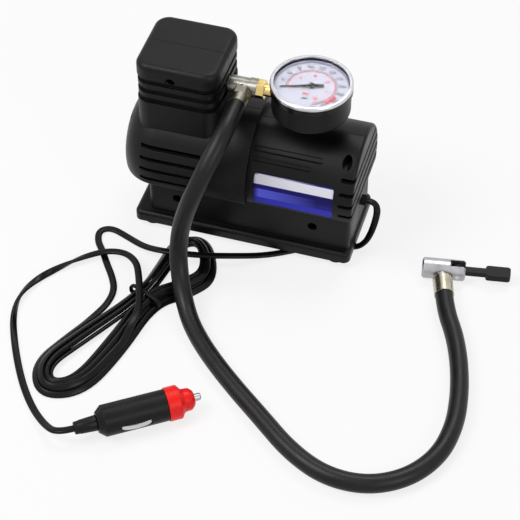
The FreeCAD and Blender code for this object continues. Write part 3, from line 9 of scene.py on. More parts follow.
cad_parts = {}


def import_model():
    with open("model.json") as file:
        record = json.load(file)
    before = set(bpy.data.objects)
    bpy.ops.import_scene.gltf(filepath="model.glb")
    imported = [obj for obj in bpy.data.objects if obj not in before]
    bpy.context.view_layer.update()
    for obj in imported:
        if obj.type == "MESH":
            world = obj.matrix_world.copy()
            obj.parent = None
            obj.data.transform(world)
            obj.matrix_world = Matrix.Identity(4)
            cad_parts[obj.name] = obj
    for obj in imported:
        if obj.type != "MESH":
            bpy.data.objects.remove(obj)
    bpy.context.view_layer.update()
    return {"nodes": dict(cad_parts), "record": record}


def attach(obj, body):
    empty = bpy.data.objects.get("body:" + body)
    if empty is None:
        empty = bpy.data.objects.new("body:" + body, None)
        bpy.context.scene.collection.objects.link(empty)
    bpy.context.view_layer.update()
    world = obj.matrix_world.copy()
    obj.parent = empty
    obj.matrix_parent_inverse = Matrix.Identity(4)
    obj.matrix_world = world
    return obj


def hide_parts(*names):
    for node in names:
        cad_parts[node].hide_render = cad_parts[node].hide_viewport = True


# Lengths are in millimetres and angles in degrees, unless a line says otherwise
MM = 0.001

# Camera, as fitted to the photograph
CAMERA_PLACE = (257.3, -832.8, 869.9)
CAMERA_TARGET = (19.13, -38.98, 0.0)
CAMERA_LENS = 127.11
CAMERA_SENSOR = 36.0
CAMERA_FAR_M = 20.0

# Lights, each with its name, place, target and size in metres, and its power in watts
SOFTBOXES = (
    ("key", (-0.75, -0.55, 1.35), (0, -0.05, 0.05), 0.9, 15.0),
    ("fill", (1.1, -0.9, 0.9), (0, -0.05, 0.05), 0.8, 5.0),
    ("top", (0.1, 0.7, 1.4), (0, 0, 0.08), 0.8, 8.0),
)

# Floor and sky: how white the floor is, its share of glow, and the sky's light on the object
FLOOR_HALF_M = 3
FLOOR_CELLS = (8, 8)
FLOOR_WHITE = 0.86
FLOOR_GLOW = 0.80
SKY_LIGHT = 0.22

# Label, wrapped round the housing's motor end
AXIS_Z = 56.0
MOTOR_END_R = 34.5
LABEL_LEFT = 13.2
LABEL_RIGHT = 65.1
LABEL_LOW = 47.0
LABEL_HIGH = 70.7
LABEL_PROUD = 0.15
LABEL_CORNER = 0.8
LABEL_SQUARENESS = 12
LABEL_CELLS = (40, 24)
LABEL_ROUGH = (0.28, 0.40)
ROYAL_BLUE = (0.028, 0.030, 0.55)
NAVY_BLUE = (0.010, 0.007, 0.12)
PALE_BLUE = (0.13, 0.145, 0.90)
DARK_BLUE = (0.016, 0.012, 0.20)
LABEL_WHITE = (0.86, 0.86, 0.95)
# Its fields from the bottom up, each from a share of the height: the plain and the bright ones
PLAIN_FIELDS = ((0, ROYAL_BLUE), (0.26, DARK_BLUE), (0.42, NAVY_BLUE), (0.70, LABEL_WHITE),
                (0.96, DARK_BLUE))
BRIGHT_FIELDS = ((0, ROYAL_BLUE), (0.26, PALE_BLUE), (0.56, DARK_BLUE), (0.70, LABEL_WHITE),
                 (0.99, DARK_BLUE))
# How much of the bright ones shows, from left to right
BRIGHT_SHARE = ((0.03, (0.3, 0.3, 0.3)), (0.07, (1, 1, 1)), (0.80, (0, 0, 0)))

# Gauge: its rim with the greys above and below its edge, the lens, the wall over the dial, and
# how the print lies on the dial
GAUGE_X = 40.7
DIAL_TOP = 122.2
RIM_LOW = 124.7
RIM_BLEND = 0.1
RIM_BRIGHT = 0.60
RIM_BLACK = 0.004
RIM_ROUGH = (0.16, 0.28)
LENS_ROUGH = (0.0, 0.02)
WALL_R = 23.0
WALL_LOW = 122.3
WALL_HIGH = 124.2
WALL_THICK = 0.15
WALL_CELLS = (96, 3)
INK_DARK = (0.02, 0.02, 0.04)
INK_RED = (0.70, 0.02, 0.07)
DIAL_ZERO = 197.0
DIAL_SWEEP = 270.0
PRINT_LIFT = 0.03
RED_LIFT = 0.03
LETTER_WEIGHT = 0.13
ARC_STEPS = 90
LONG_TICK = 1.9
SHORT_TICK = 1.0

# The outer scale, and the red field at its end as shares of the sweep
OUTER_MARKS = 12
OUTER_STEP = 25
TICKS_PER_MARK = 5
OUTER_ARC_R = 15.6
OUTER_ARC_WIDE = 0.35
OUTER_TICK_R = OUTER_ARC_R + 0.22
OUTER_TICK_WIDE = 0.34
OUTER_NUMBER_R = 19.0
OUTER_NUMBER_SIZE = 3.0
FIELD_INNER_R = OUTER_ARC_R + 0.5
FIELD_OUTER_R = OUTER_ARC_R + 2.9
FIELD_START = 0.79
FIELD_END = 0.90
FIELD_STEPS = 12

# The inner scale, and the places of the two unit names as radius and direction
INNER_STEP = 4
INNER_FULL = 20.7
INNER_ARC_INNER_R = OUTER_ARC_R - 1.1
INNER_ARC_OUTER_R = OUTER_ARC_R - 0.5
INNER_TICK_R = OUTER_ARC_R - 0.9
INNER_TICK_WIDE = 0.36
INNER_NUMBER_R = 10.6
INNER_NUMBER_SIZE = 3.2
WORD_SIZE = 3.4
BAR_PLACE = (7.0, -104.0)
PSI_PLACE = (11.2, -98.0)

# Hose, from the tee to the side of the chuck
CURVE_STEPS = 8
HOSE_R = 5.8
HOSE_ROUNDNESS = 10
BRANCH_X = -2.2
OUTLET_Z = 112.5
HOSE_EXIT_Y = -19.0
HOSE_FLOOR_Z = 6.0
HOSE_RUN_IN = 14.0
HOSE_ROUTE = (
    (BRANCH_X, HOSE_EXIT_Y, OUTLET_Z), (BRANCH_X, -33.6, OUTLET_Z),
    (-3.6, -47.5, 108.0), (-7.3, -59.2, 99.4), (-11.7, -67.8, 87.6), (-16.5, -72.3, 73.8),
    (-20.8, -72.6, 58.9), (-23.4, -73.6, 44.4), (-23.4, -77.4, 30.6), (-19.8, -85.6, 18.8),
    (-13.3, -97.2, 10.2), (-4.2, -111.0, HOSE_FLOOR_Z), (11.5, -129.0, HOSE_FLOOR_Z),
    (34.0, -149.5, HOSE_FLOOR_Z), (59.0, -169.5, HOSE_FLOOR_Z), (82.0, -188.5, HOSE_FLOOR_Z),
    (106.5, -200.5, HOSE_FLOOR_Z), (132.0, -200.5, HOSE_FLOOR_Z), (153.5, -188.5, HOSE_FLOOR_Z),
    (167.5, -168.0, HOSE_FLOOR_Z), (171.8, -143.0, HOSE_FLOOR_Z), (169.3, -117.0, HOSE_FLOOR_Z),
    (163.5, -92.5, HOSE_FLOOR_Z), (156.0, -72.0, 6.4),
)
CHUCK_PLACE = Vector((123.2, -21.3, 7.0))
CHUCK_TURN = 9.4
CHUCK_SIDE_ALONG = 12.4
CHUCK_SIDE_TURN = -72.4
LOWER_FERRULE_END = 23.2

# Cord: its section, with a groove as a share of its half thickness, and its lead to the hank
CORD_WIDE = 4.6
CORD_THICK = 2.4
CORD_SIDES = 28
GROOVE_DEPTH = 0.45
GROOVE_SHARE = 0.35
GROOVE_LEAST = 0.1
CORD_FLOOR_Z = 1.6
CORD_EXIT = (79.2, 4.1, 30.9)
LEAD_ROUTE = (
    CORD_EXIT, (84.2, 4.1, 30.9), (86.8, 2.4, 26.0),
    (86.6, -2.0, 20.0), (85.2, -6.2, 13.0), (82.6, -9.6, 6.8), (77.2, -11.4, CORD_FLOOR_Z),
    (66.0, -12.0, CORD_FLOOR_Z), (53.0, -15.5, CORD_FLOOR_Z), (38.0, -26.0, CORD_FLOOR_Z),
    (21.5, -37.5, 3.4), (4.0, -48.5, 8.8), (-17.5, -55.5, 9.8), (-40.5, -58.0, 9.4),
    (-56.0, -53.5, 4.6), (-70.0, -45.5, CORD_FLOOR_Z), (-83.0, -40.5, CORD_FLOOR_Z),
    (-90.3, -45.0, CORD_FLOOR_Z), (-88.0, -54.5, CORD_FLOOR_Z), (-81.5, -62.5, CORD_FLOOR_Z),
    (-75.0, -72.5, CORD_FLOOR_Z), (-68.0, -82.0, CORD_FLOOR_Z), (-62.5, -92.5, CORD_FLOOR_Z),
    (-62.5, -104.5, CORD_FLOOR_Z), (-66.0, -116.0, 2.0),
)
LEAD_RUN_IN = 12.0

# Hank: the places of its outermost loop, one lobe and then the other, and how the loops step
# inwards in the lower layer and outwards again in the upper one
HANK_LOOP = (
    (-77.0, -137.0), (-90.5, -166.0), (-77.0, -190.5), (-50.0, -180.5), (-38.0, -142.0),
    (-13.0, -85.5), (0.5, -65.0), (-18.0, -27.5), (-42.5, -38.0), (-45.0, -59.0),
)
LOBE_PLACES = 5
LOBE_STEP = 3.9
WAIST_STEP = 3.4
HANK_LOW_Z = 2.25
HANK_LAYER = 3.8
HANK_LOOPS = 3
HANK_FIRST = 1
HANK_CLIMB = 4
HANK_OUTWARD = 24
HANK_TOP = 9
HANK_TOP_BACK = 2.5
HANK_TILT = 45.0

# Tail, from the hank to the plug, with its twist at the first of its places; the last one holds
TAIL_RUN_OUT = 6.0
TAIL_RUN_IN = 10.5
TAIL_ROUTE = (
    (-39.2, -124.0, 9.8), (-39.5, -110.0, 9.9), (-43.5, -97.0, 9.9), (-48.5, -84.0, 9.8),
    (-54.5, -71.5, 8.8), (-65.0, -64.0, 7.0), (-78.0, -65.0, 5.6), (-91.0, -72.5, 3.6),
    (-102.5, -84.5, 2.9), (-113.5, -98.5, 2.2), (-119.0, -115.0, 2.9),
    (-116.5, -132.5, 2.3), (-108.5, -150.5, CORD_FLOOR_Z),
    (-98.5, -169.0, CORD_FLOOR_Z), (-88.0, -185.5, CORD_FLOOR_Z), (-76.5, -199.5, CORD_FLOOR_Z),
    (-64.0, -211.5, 5.2),
)
TAIL_TILT = (20.0, 0.0, 0.0, 0.0, 0.0, 0.0, 0.0, 10.0, 90.0, 170.0, 240.0, 320.0, 350.0, 360.0)

# Tie round the hank's waist
TIE_CENTRE = Vector((-40.7, -95.1, 0))
TIE_TURN = 68.0
TIE_HALF_WIDTH = 9.6
TIE_WIDE = 3.0
TIE_THICK = 0.4
TIE_BULGE = 0.3
TIE_LOW = 0.7
TIE_HIGH = 8.9
TIE_ROUND = 0.55
TIE_CELLS = (96, 6)

# Plug: its ends as places along its axis and radii
PLUG_PLACE = Vector((-44.2, -212.9, 10.6))
PLUG_TURN = 35.1
PLUG_SIDES = 64
WELD_GAP = 0.01
SHARP_ANGLE = 35.0
CAP_PROFILE = (
    (57.2, 2.7), (57.2, 10.2), (57.5, 10.5), (64.8, 10.5), (65.2, 10.2), (66.8, 7.9),
    (67.6, 7.3), (68.6, 7.1), (71.6, 6.9), (72.3, 6.5), (74.0, 4.9), (74.4, 4.3), (74.4, 2.7),
    (57.2, 2.7),
)
SLEEVE_PROFILE = (
    (0.0, 0.0), (0.0, 3.4), (0.4, 3.9), (3.0, 4.1), (3.6, 4.3), (13.3, 4.9), (13.9, 4.7),
    (13.9, 0.0),
)


# Shader building blocks


def add(tree, kind, **values):
    """A shader node with its plain inputs set; spaces in their names are underscores here."""
    node = tree.nodes.new("ShaderNode" + kind)
    for name, value in values.items():
        node.inputs[name.replace("_", " ")].default_value = value
    return node


def object_place(tree, stretch=(1, 1, 1)):
    """Object coordinates in metres, stretched along the three axes."""
    mapping = add(tree, "Mapping", Scale=stretch)
    tree.links.new(add(tree, "TexCoord").outputs["Object"], mapping.inputs["Vector"])
    return mapping.outputs["Vector"]


def object_axes(tree):
    """Object coordinates in metres, one output for each axis."""
    parts = add(tree, "SeparateXYZ")
    tree.links.new(object_place(tree), parts.inputs["Vector"])
    return parts.outputs


def noise(tree, place, scale, detail):
    node = add(tree, "TexNoise", Scale=scale, Detail=detail)
    tree.links.new(place, node.inputs["Vector"])
    return node.outputs["Fac"]


def ramp(tree, factor, stops, blend="LINEAR"):
    """A colour ramp through (place, colour) stops."""
    node = add(tree, "ValToRGB")
    node.color_ramp.interpolation = blend
    elements = node.color_ramp.elements
    while len(elements) < len(stops):
        elements.new(0.5)  # moved to its own place below
    for element, (place, colour) in zip(elements, stops):
        element.position = place
        element.color = (*colour, 1)
    tree.links.new(factor, node.inputs["Fac"])
    return node.outputs["Color"]


def between(tree, factor, low, high, start, end):
    """A factor's range from start to end, mapped onto low to high."""
    node = add(tree, "MapRange", From_Min=start, From_Max=end, To_Min=low, To_Max=high)
    tree.links.new(factor, node.inputs["Value"])
    return node.outputs["Result"]


def blank(name, **values):
    """A new material, its shader with plain values set, and its node tree."""
    material = bpy.data.materials.new(name)
    material.use_nodes = True
    shader = material.node_tree.nodes["Principled BSDF"]
    for socket, value in values.items():
        shader.inputs[socket.replace("_", " ")].default_value = value
    return material, shader, material.node_tree


def relief(tree, shader, height, depth, edge=0.0):
    """Fine relief of a depth in millimetres, over edges that catch light as if rounded."""
    bump = add(tree, "Bump", Distance=depth * MM)
    tree.links.new(height, bump.inputs["Height"])
    if edge:
        rounded = add(tree, "Bevel", Radius=edge * MM)
        tree.links.new(rounded.outputs["Normal"], bump.inputs["Normal"])
    tree.links.new(bump.outputs["Normal"], shader.inputs["Normal"])


# Finishes. The noises' middle range, in which nearly all of their values lie, spans each drift.

DRIFT = (0.3, 0.7)
CLOUD_DETAIL = 5.0
GRAIN_DETAIL = 3.0
COOL_TINT = 1.04
SATIN_SHADE = 0.8
INK_GAIN = 1.15
INK_LIFT = 0.01


def grey(level):
    """A slightly cool grey."""
    return (level, level, level * COOL_TINT)


# Satin plastics and rubbers: their lightest grey, and the roughness they drift over
SATIN_BLACKS = {
    "rubber_black": (0.008, (0.60, 0.75)),
    "plug_black": (0.006, (0.32, 0.45)),
    "needle_black": (0.006, (0.30, 0.40)),
    "seal": (0.020, (0.50, 0.60)),
    "magnet": (0.060, (0.60, 0.70)),
    "cord_pvc": (0.004, (0.22, 0.32)),
}

# Metals: their darkest and lightest colour, their roughness, and how their grain is stretched
METALS = {
    "steel_dark": (grey(0.06), grey(0.10), (0.35, 0.50)),
    "steel_zinc": (grey(0.52), grey(0.64), (0.22, 0.36)),
    "can_steel": (grey(0.48), grey(0.58), (0.28, 0.40), (1, 30, 30)),
    "cast_alloy": (grey(0.46), grey(0.58), (0.42, 0.55)),
    "copper": ((0.62, 0.30, 0.16), (0.78, 0.42, 0.24), (0.25, 0.35)),
    "brass": ((0.62, 0.46, 0.17), (0.78, 0.60, 0.26), (0.16, 0.28)),
    "chrome": (grey(0.56), grey(0.70), (0.16, 0.28)),
    "liner": ((0.44, 0.44, 0.52), (0.52, 0.52, 0.60), (0.30, 0.40)),
    "satin_nickel": (grey(0.34), grey(0.44), (0.26, 0.38)),
    "worn_nickel": ((0.20, 0.19, 0.17), (0.34, 0.33, 0.30), (0.24, 0.36)),
    "ferrule_nickel": ((0.17, 0.155, 0.125), (0.26, 0.24, 0.20), (0.28, 0.40)),
    "ferrule_brassed": ((0.42, 0.39, 0.30), (0.56, 0.53, 0.42), (0.20, 0.32)),
}

# Nodes whose finish isn't that of their material slot
NODE_FINISHES = {
    "gauge_bezel": "bezel_rim",
    "chuck_body": "satin_nickel",
    "plug_tip": "satin_nickel",
    "tee_fitting": "worn_nickel",
    "hose_ferrule_upper": "ferrule_nickel",
    "hose_ferrule_lower": "ferrule_brassed",
}


def finish(name, dark, light, rough, clouds=50.0, grain=1500.0, depth=0.01,
           stretch=(1, 1, 1), edge=0.0, **values):
    """A finish whose colour and gloss drift a little, with a fine grain in its surface."""
    material, shader, tree = blank(name, **values)
    drift = noise(tree, object_place(tree), clouds, CLOUD_DETAIL)
    fine = noise(tree, object_place(tree, stretch), grain, GRAIN_DETAIL)
    tree.links.new(ramp(tree, drift, tuple(zip(DRIFT, (dark, light)))),
                   shader.inputs["Base Color"])
    tree.links.new(between(tree, drift, *rough, *DRIFT), shader.inputs["Roughness"])
    relief(tree, shader, fine, depth, edge)
    return material


def moulded_black():
    """The housing's black plastic, with a fine spark-eroded grain."""
    return finish("housing_plastic", dark=grey(0.0026), light=grey(0.0050), rough=(0.34, 0.46),
                  grain=2600.0, depth=0.018, edge=0.5, Specular_IOR_Level=0.17)


def satin_black(name, level, rough):
    return finish(name, grey(level * SATIN_SHADE), grey(level), rough, grain=2200.0, depth=0.01,
                  edge=0.3, Specular_IOR_Level=0.16)


def plated(name, dark, light, rough, stretch=(1, 1, 1)):
    return finish(name, dark, light, rough, clouds=120.0, grain=1800.0, depth=0.004,
                  stretch=stretch, edge=0.2, Metallic=1.0)


def bezel_finish():
    """Bright plating on the rim, black below it."""
    material, shader, tree = blank("bezel_rim", Specular_IOR_Level=0.2)
    share = between(tree, object_axes(tree)["Z"], 0.0, 1.0, (RIM_LOW - RIM_BLEND) * MM,
                    RIM_LOW * MM)
    colour = ramp(tree, share, ((0.4, grey(RIM_BLACK)), (0.6, grey(RIM_BRIGHT))))
    tree.links.new(colour, shader.inputs["Base Color"])
    tree.links.new(share, shader.inputs["Metallic"])
    fine = noise(tree, object_place(tree), scale=140.0, detail=GRAIN_DETAIL)
    tree.links.new(between(tree, fine, *RIM_ROUGH, *DRIFT), shader.inputs["Roughness"])
    relief(tree, shader, fine, depth=0.004, edge=0.2)
    return material


def hose_rubber():
    """Extruded rubber with a dull bloom."""
    return finish("hose_rubber", dark=grey(0.0035), light=grey(0.0065), rough=(0.32, 0.44),
                  clouds=90.0, grain=1100.0, depth=0.03, Specular_IOR_Level=0.24)


def clear_lens():
    material, shader, tree = blank("lens", Base_Color=(1, 1, 1, 1), IOR=1.46,
                                   Transmission_Weight=1.0, Alpha=0.10)
    haze = noise(tree, object_place(tree), scale=80.0, detail=GRAIN_DETAIL)
    tree.links.new(between(tree, haze, *LENS_ROUGH, *DRIFT), shader.inputs["Roughness"])
    return material


def dial_card():
    return finish("dial_white", dark=(0.62, 0.63, 0.76), light=(0.68, 0.69, 0.80),
                  rough=(0.42, 0.52), clouds=60.0, grain=3000.0, depth=0.003)


def nylon():
    return finish("nylon", dark=(0.72, 0.70, 0.62), light=(0.82, 0.80, 0.72), rough=(0.42, 0.5))


def red_plastic():
    return finish("red_plastic", dark=(0.86, 0.008, 0.006), light=(0.95, 0.016, 0.010),
                  rough=(0.3, 0.4), edge=0.3, Specular_IOR_Level=0.25)


def printed(name, colour):
    lighter = tuple(min(1.0, part * INK_GAIN + INK_LIFT) for part in colour)
    return finish(name, colour, lighter, rough=(0.35, 0.45), clouds=700.0, depth=0.002)


def finishes():
    """Every finish by its name, which for a material slot's finish is the slot's."""
    made = {name: satin_black(name, *values) for name, values in SATIN_BLACKS.items()}
    made.update({name: plated(name, *values) for name, values in METALS.items()})
    made.update({
        "housing_plastic": moulded_black(),
        "bezel_rim": bezel_finish(),
        "nylon": nylon(),
        "red_plastic": red_plastic(),
        "hose_rubber": hose_rubber(),
        "dial_white": dial_card(),
        "lens": clear_lens(),
    })
    return made


def dress(frame, made):
    """Gives every node of the frame its own finish, or else that of its slot."""
    for row in frame["record"]["subparts"]:
        mesh = frame["nodes"][row["node"]].data
        mesh.materials.clear()
        mesh.materials.append(made[NODE_FINISHES.get(row["node"], row["material_slot"])])


# Pieces


def new_object(name, data):
    made = bpy.data.objects.new(name, data)
    bpy.context.scene.collection.objects.link(made)
    return made


def piece(name, mesh, material, body):
    """An object from a mesh, with its material, on a body."""
    mesh.materials.append(material)
    made = new_object(name, mesh)
    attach(made, body)
    return made


def sheet_mesh(name, cells, place):
    """A grid of cells, each corner placed by a function of its two shares from 0 to 1."""
    columns, rows = cells
    grid = bmesh.new()
    corners = [[grid.verts.new(place(i / columns, j / rows)) for i in range(columns + 1)]
               for j in range(rows + 1)]
    for j in range(rows):
        for i in range(columns):
            face = grid.faces.new((corners[j][i], corners[j][i + 1],
                                   corners[j + 1][i + 1], corners[j + 1][i]))
            face.smooth = True
    mesh = bpy.data.meshes.new(name)
    grid.to_mesh(mesh)
    grid.free()
    return mesh


def thicken(made, thickness, offset=-1.0):
    """Makes a sheet solid: offset -1 grows it on its back, 0 on both sides."""
    solid = made.modifiers.new("thickness", "SOLIDIFY")
    solid.thickness = thickness * MM
    solid.offset = offset


def heading(angle):
    """The level direction at an angle from +X."""
    turn = math.radians(angle)
    return Vector((math.cos(turn), math.sin(turn), 0))


# Label


def label_place(across, up):
    """A point of the label, whose corners are a little rounded."""
    low = math.asin((LABEL_LOW - AXIS_Z) / MOTOR_END_R)
    high = math.asin((LABEL_HIGH - AXIS_Z) / MOTOR_END_R)
    edge = abs(2 * up - 1) ** LABEL_SQUARENESS * LABEL_CORNER
    left, right = LABEL_LEFT + edge, LABEL_RIGHT - edge
    angle = low + (high - low) * up
    radius = MOTOR_END_R + LABEL_PROUD
    return Vector((left + (right - left) * across, -radius * math.cos(angle),
                   AXIS_Z + radius * math.sin(angle))) * MM


def label_finish():
    """A plain printed label: a white head strip over fields of blue."""
    material, shader, tree = blank("label_print", Specular_IOR_Level=0.12)
    axes = object_axes(tree)
    up = between(tree, axes["Z"], 0.0, 1.0, LABEL_LOW * MM, LABEL_HIGH * MM)
    across = between(tree, axes["X"], 0.0, 1.0, LABEL_LEFT * MM, LABEL_RIGHT * MM)
    mix = tree.nodes.new("ShaderNodeMixRGB")
    tree.links.new(ramp(tree, across, BRIGHT_SHARE), mix.inputs["Fac"])
    tree.links.new(ramp(tree, up, PLAIN_FIELDS, "CONSTANT"), mix.inputs["Color1"])
    tree.links.new(ramp(tree, up, BRIGHT_FIELDS, "CONSTANT"), mix.inputs["Color2"])
    tree.links.new(mix.outputs["Color"], shader.inputs["Base Color"])
    fine = noise(tree, object_place(tree), scale=900.0, detail=GRAIN_DETAIL)
    tree.links.new(between(tree, fine, *LABEL_ROUGH, *DRIFT), shader.inputs["Roughness"])
    relief(tree, shader, fine, depth=0.004)
    return material


def label():
    mesh = sheet_mesh("label", LABEL_CELLS, label_place)
    made = piece("label", mesh, label_finish(), "inflator")
    thicken(made, LABEL_PROUD)


# Gauge's print and wall


def dial_angle(share):
    """The direction of a share of the scale, in radians from +X."""
    return math.radians(DIAL_ZERO - DIAL_SWEEP * share)


def on_dial(radius, angle, height=DIAL_TOP + PRINT_LIFT):
    """A point round the gauge's axis, by an angle in radians."""
    return Vector((GAUGE_X + radius * math.cos(angle), radius * math.sin(angle), height)) * MM


def arc_band(sheet, inner, outer, start=0.0, end=1.0, steps=ARC_STEPS):
    """A flat band between two radii, from one share of the scale to another."""
    rim = []
    for k in range(steps + 1):
        angle = dial_angle(start + (end - start) * k / steps)
        rim.append([sheet.verts.new(on_dial(radius, angle)) for radius in (inner, outer)])
    for (a, b), (c, d) in zip(rim, rim[1:]):
        sheet.faces.new((a, b, d, c))


def tick(sheet, inner, outer, share, wide):
    """A stroke across the scale, tapered inwards."""
    angle = dial_angle(share)
    half, narrow = wide / 2 / outer, wide / 3 / inner
    sheet.faces.new([sheet.verts.new(on_dial(*corner)) for corner in
                     ((inner, angle + narrow), (outer, angle + half),
                      (outer, angle - half), (inner, angle - narrow))])


def lettering(sheet, text, place, size):
    """Adds a number or word, upright on the dial and centred on a place."""
    words = bpy.data.curves.new("words", "FONT")
    words.body = text
    words.size = size * MM
    words.offset = LETTER_WEIGHT * MM
    words.align_x, words.align_y = "CENTER", "CENTER"
    holder = bpy.data.objects.new("words", words)
    flat = bpy.data.meshes.new_from_object(holder)
    flat.transform(Matrix.Translation(place))
    sheet.from_mesh(flat)
    bpy.data.objects.remove(holder)
    bpy.data.meshes.remove(flat)
    bpy.data.curves.remove(words)


def unit_name(sheet, text, place):
    """Adds a unit's name at a radius and a direction."""
    radius, angle = place
    lettering(sheet, text, on_dial(radius, math.radians(angle)), WORD_SIZE)


def print_piece(name, sheet, material):
    mesh = bpy.data.meshes.new(name)
    sheet.to_mesh(mesh)
    sheet.free()
    piece(name, mesh, material, "inflator")


def dial_print():
    """The outer dark scale, the inner red one and the red field at the end."""
    dark, red = bmesh.new(), bmesh.new()
    arc_band(dark, OUTER_ARC_R, OUTER_ARC_R + OUTER_ARC_WIDE)
    arc_band(red, INNER_ARC_INNER_R, INNER_ARC_OUTER_R)
    arc_band(red, FIELD_INNER_R, FIELD_OUTER_R, FIELD_START, FIELD_END, FIELD_STEPS)
    ticks = TICKS_PER_MARK * OUTER_MARKS
    for k in range(ticks + 1):
        long = LONG_TICK if k % TICKS_PER_MARK == 0 else SHORT_TICK
        tick(dark, OUTER_TICK_R, OUTER_ARC_R + long, k / ticks, OUTER_TICK_WIDE)
    for k in range(OUTER_MARKS + 1):
        place = on_dial(OUTER_NUMBER_R, dial_angle(k / OUTER_MARKS))
        lettering(dark, str(k * OUTER_STEP), place, OUTER_NUMBER_SIZE)
    last = int(INNER_FULL)
    for value in range(last + 1):
        long = LONG_TICK if value % INNER_STEP == 0 else SHORT_TICK
        tick(red, INNER_TICK_R - long, INNER_TICK_R, value / INNER_FULL, INNER_TICK_WIDE)
    for value in range(0, last + 1, INNER_STEP):
        place = on_dial(INNER_NUMBER_R, dial_angle(value / INNER_FULL))
        lettering(red, str(value), place, INNER_NUMBER_SIZE)
    unit_name(red, "bar", BAR_PLACE)
    unit_name(dark, "psi", PSI_PLACE)
    bmesh.ops.translate(red, vec=Vector((0, 0, RED_LIFT)) * MM, verts=red.verts)
    print_piece("dial_scale_dark", dark, printed("ink_dark", INK_DARK))
    print_piece("dial_scale_red", red, printed("ink_red", INK_RED))


def wall_place(around, up):
    return on_dial(WALL_R, 2 * math.pi * around, WALL_LOW + (WALL_HIGH - WALL_LOW) * up)


def dial_wall(material):
    """The pale wall between the dial and the lens."""
    mesh = sheet_mesh("dial_wall", WALL_CELLS, wall_place)
    made = piece("dial_wall", mesh, material, "inflator")
    thicken(made, WALL_THICK)


# Hose and cord


def route_curve(name, points, material):
    """A smooth curve through the air or on the floor, with a route's points as its controls."""
    curve = bpy.data.curves.new(name, "CURVE")
    curve.dimensions = "3D"
    curve.resolution_u = CURVE_STEPS
    curve.use_fill_caps = True
    curve.materials.append(material)
    spline = curve.splines.new("NURBS")
    spline.points.add(len(points) - 1)
    for control, place in zip(spline.points, points):
        control.co = (*(Vector(place) * MM), 1.0)
    spline.order_u = 3
    spline.use_endpoint_u = True
    return new_object(name, curve)


def hose_points():
    """The hose's route, and its straight run into the ferrule on the chuck's side."""
    side = heading(CHUCK_SIDE_TURN)
    end = CHUCK_PLACE + heading(CHUCK_TURN) * CHUCK_SIDE_ALONG + side * LOWER_FERRULE_END
    return list(HOSE_ROUTE) + [end + side * HOSE_RUN_IN, end]


def hose(material):
    made = route_curve("hose_tube", hose_points(), material)
    made.data.bevel_depth = HOSE_R * MM
    made.data.bevel_resolution = HOSE_ROUNDNESS
    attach(made, "inflator")
    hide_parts("hose")


def hank_stations():
    """One loop's marks: places along it, each with the step between neighbouring loops."""
    axis = heading(TIE_TURN)
    across = Vector((axis.y, -axis.x, 0))
    places = [(Vector((x, y, 0)), LOBE_STEP) for x, y in HANK_LOOP]
    waist = [(TIE_CENTRE + across * (side * TIE_HALF_WIDTH), WAIST_STEP) for side in (-1, 1)]
    return waist[:1] + places[:LOBE_PLACES] + waist[1:] + places[LOBE_PLACES:]


def hank_marks():
    """Places and headings along the hank, in one layer inwards and the next one outwards."""
    stations = hank_stations()
    count = len(stations)
    turn_back = HANK_LOOPS * count + HANK_FIRST
    marks = []
    for step in range(HANK_FIRST, turn_back + HANK_CLIMB + HANK_OUTWARD + 1):
        k = step % count
        place, pitch = stations[k]
        into = (place - stations[k - 1][0]).normalized()
        out = (stations[(k + 1) % count][0] - place).normalized()
        along = (into + out).normalized()
        inside = Vector((-along.y, along.x, 0))
        back = max(0, step - turn_back - HANK_CLIMB)
        turns = (min(step, turn_back) - back) / count
        rise = min(max(step - turn_back, 0), HANK_CLIMB) / HANK_CLIMB
        height = HANK_LOW_Z + rise * HANK_LAYER
        point = place + inside * (turns * pitch) + Vector((0, 0, height))
        if k == HANK_TOP and rise == 1:
            point.y -= HANK_TOP_BACK
        marks.append((point, along))
    return marks


def cord_points():
    """The whole cord: the lead, the hank's turns and the tail to the plug."""
    marks = hank_marks()
    first, into = marks[0]
    last, out = marks[-1]
    return (list(LEAD_ROUTE) + [first - into * LEAD_RUN_IN] + [place for place, _ in marks]
            + [last + out * TAIL_RUN_OUT] + list(TAIL_ROUTE)
            + [PLUG_PLACE - heading(PLUG_TURN) * TAIL_RUN_IN, PLUG_PLACE])


def cord_profile():
    """The flat twin lead's section: two round cores side by side with a groove between."""
    curve = bpy.data.curves.new("cord_profile", "CURVE")
    curve.dimensions = "2D"
    curve.resolution_u = 1
    spline = curve.splines.new("POLY")
    radius, offset = CORD_THICK / 2, (CORD_WIDE - CORD_THICK) / 2
    groove = GROOVE_SHARE * offset + GROOVE_LEAST
    spline.points.add(CORD_SIDES - 1)
    for k, point in enumerate(spline.points):
        angle = 2 * math.pi * k / CORD_SIDES
        x = math.copysign(offset, math.cos(angle)) + radius * math.cos(angle)
        waist = 1 - GROOVE_DEPTH * math.exp(-(x / groove) ** 2)
        point.co = (x * MM, radius * math.sin(angle) * waist * MM, 0, 1)
    spline.use_cyclic_u = True
    return bpy.data.objects.new("cord_profile", curve)


def twist_cord(points):
    """Tilts the hank's strands, and twists the tail on its way to the plug."""
    lead, tail = len(LEAD_ROUTE), len(TAIL_ROUTE) + 2
    for point in points[lead:len(points) - tail]:
        point.tilt = math.radians(HANK_TILT)
    for k, point in enumerate(points[len(points) - tail:]):
        point.tilt = math.radians(TAIL_TILT[min(k, len(TAIL_TILT) - 1)])


def cord(material):
    made = route_curve("power_cord", cord_points(), material)
    twist_cord(made.data.splines[0].points)
    made.data.twist_mode = "Z_UP"
    made.data.bevel_mode = "OBJECT"
    made.data.bevel_object = cord_profile()
    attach(made, "inflator")
    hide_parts("cord_lead", "cord_hank", "cord_tail")


# Tie


def flattened(wave):
    """A sine or cosine, drawn out so that a ring from two of them has flat sides."""
    return math.copysign(abs(wave) ** TIE_ROUND, wave)


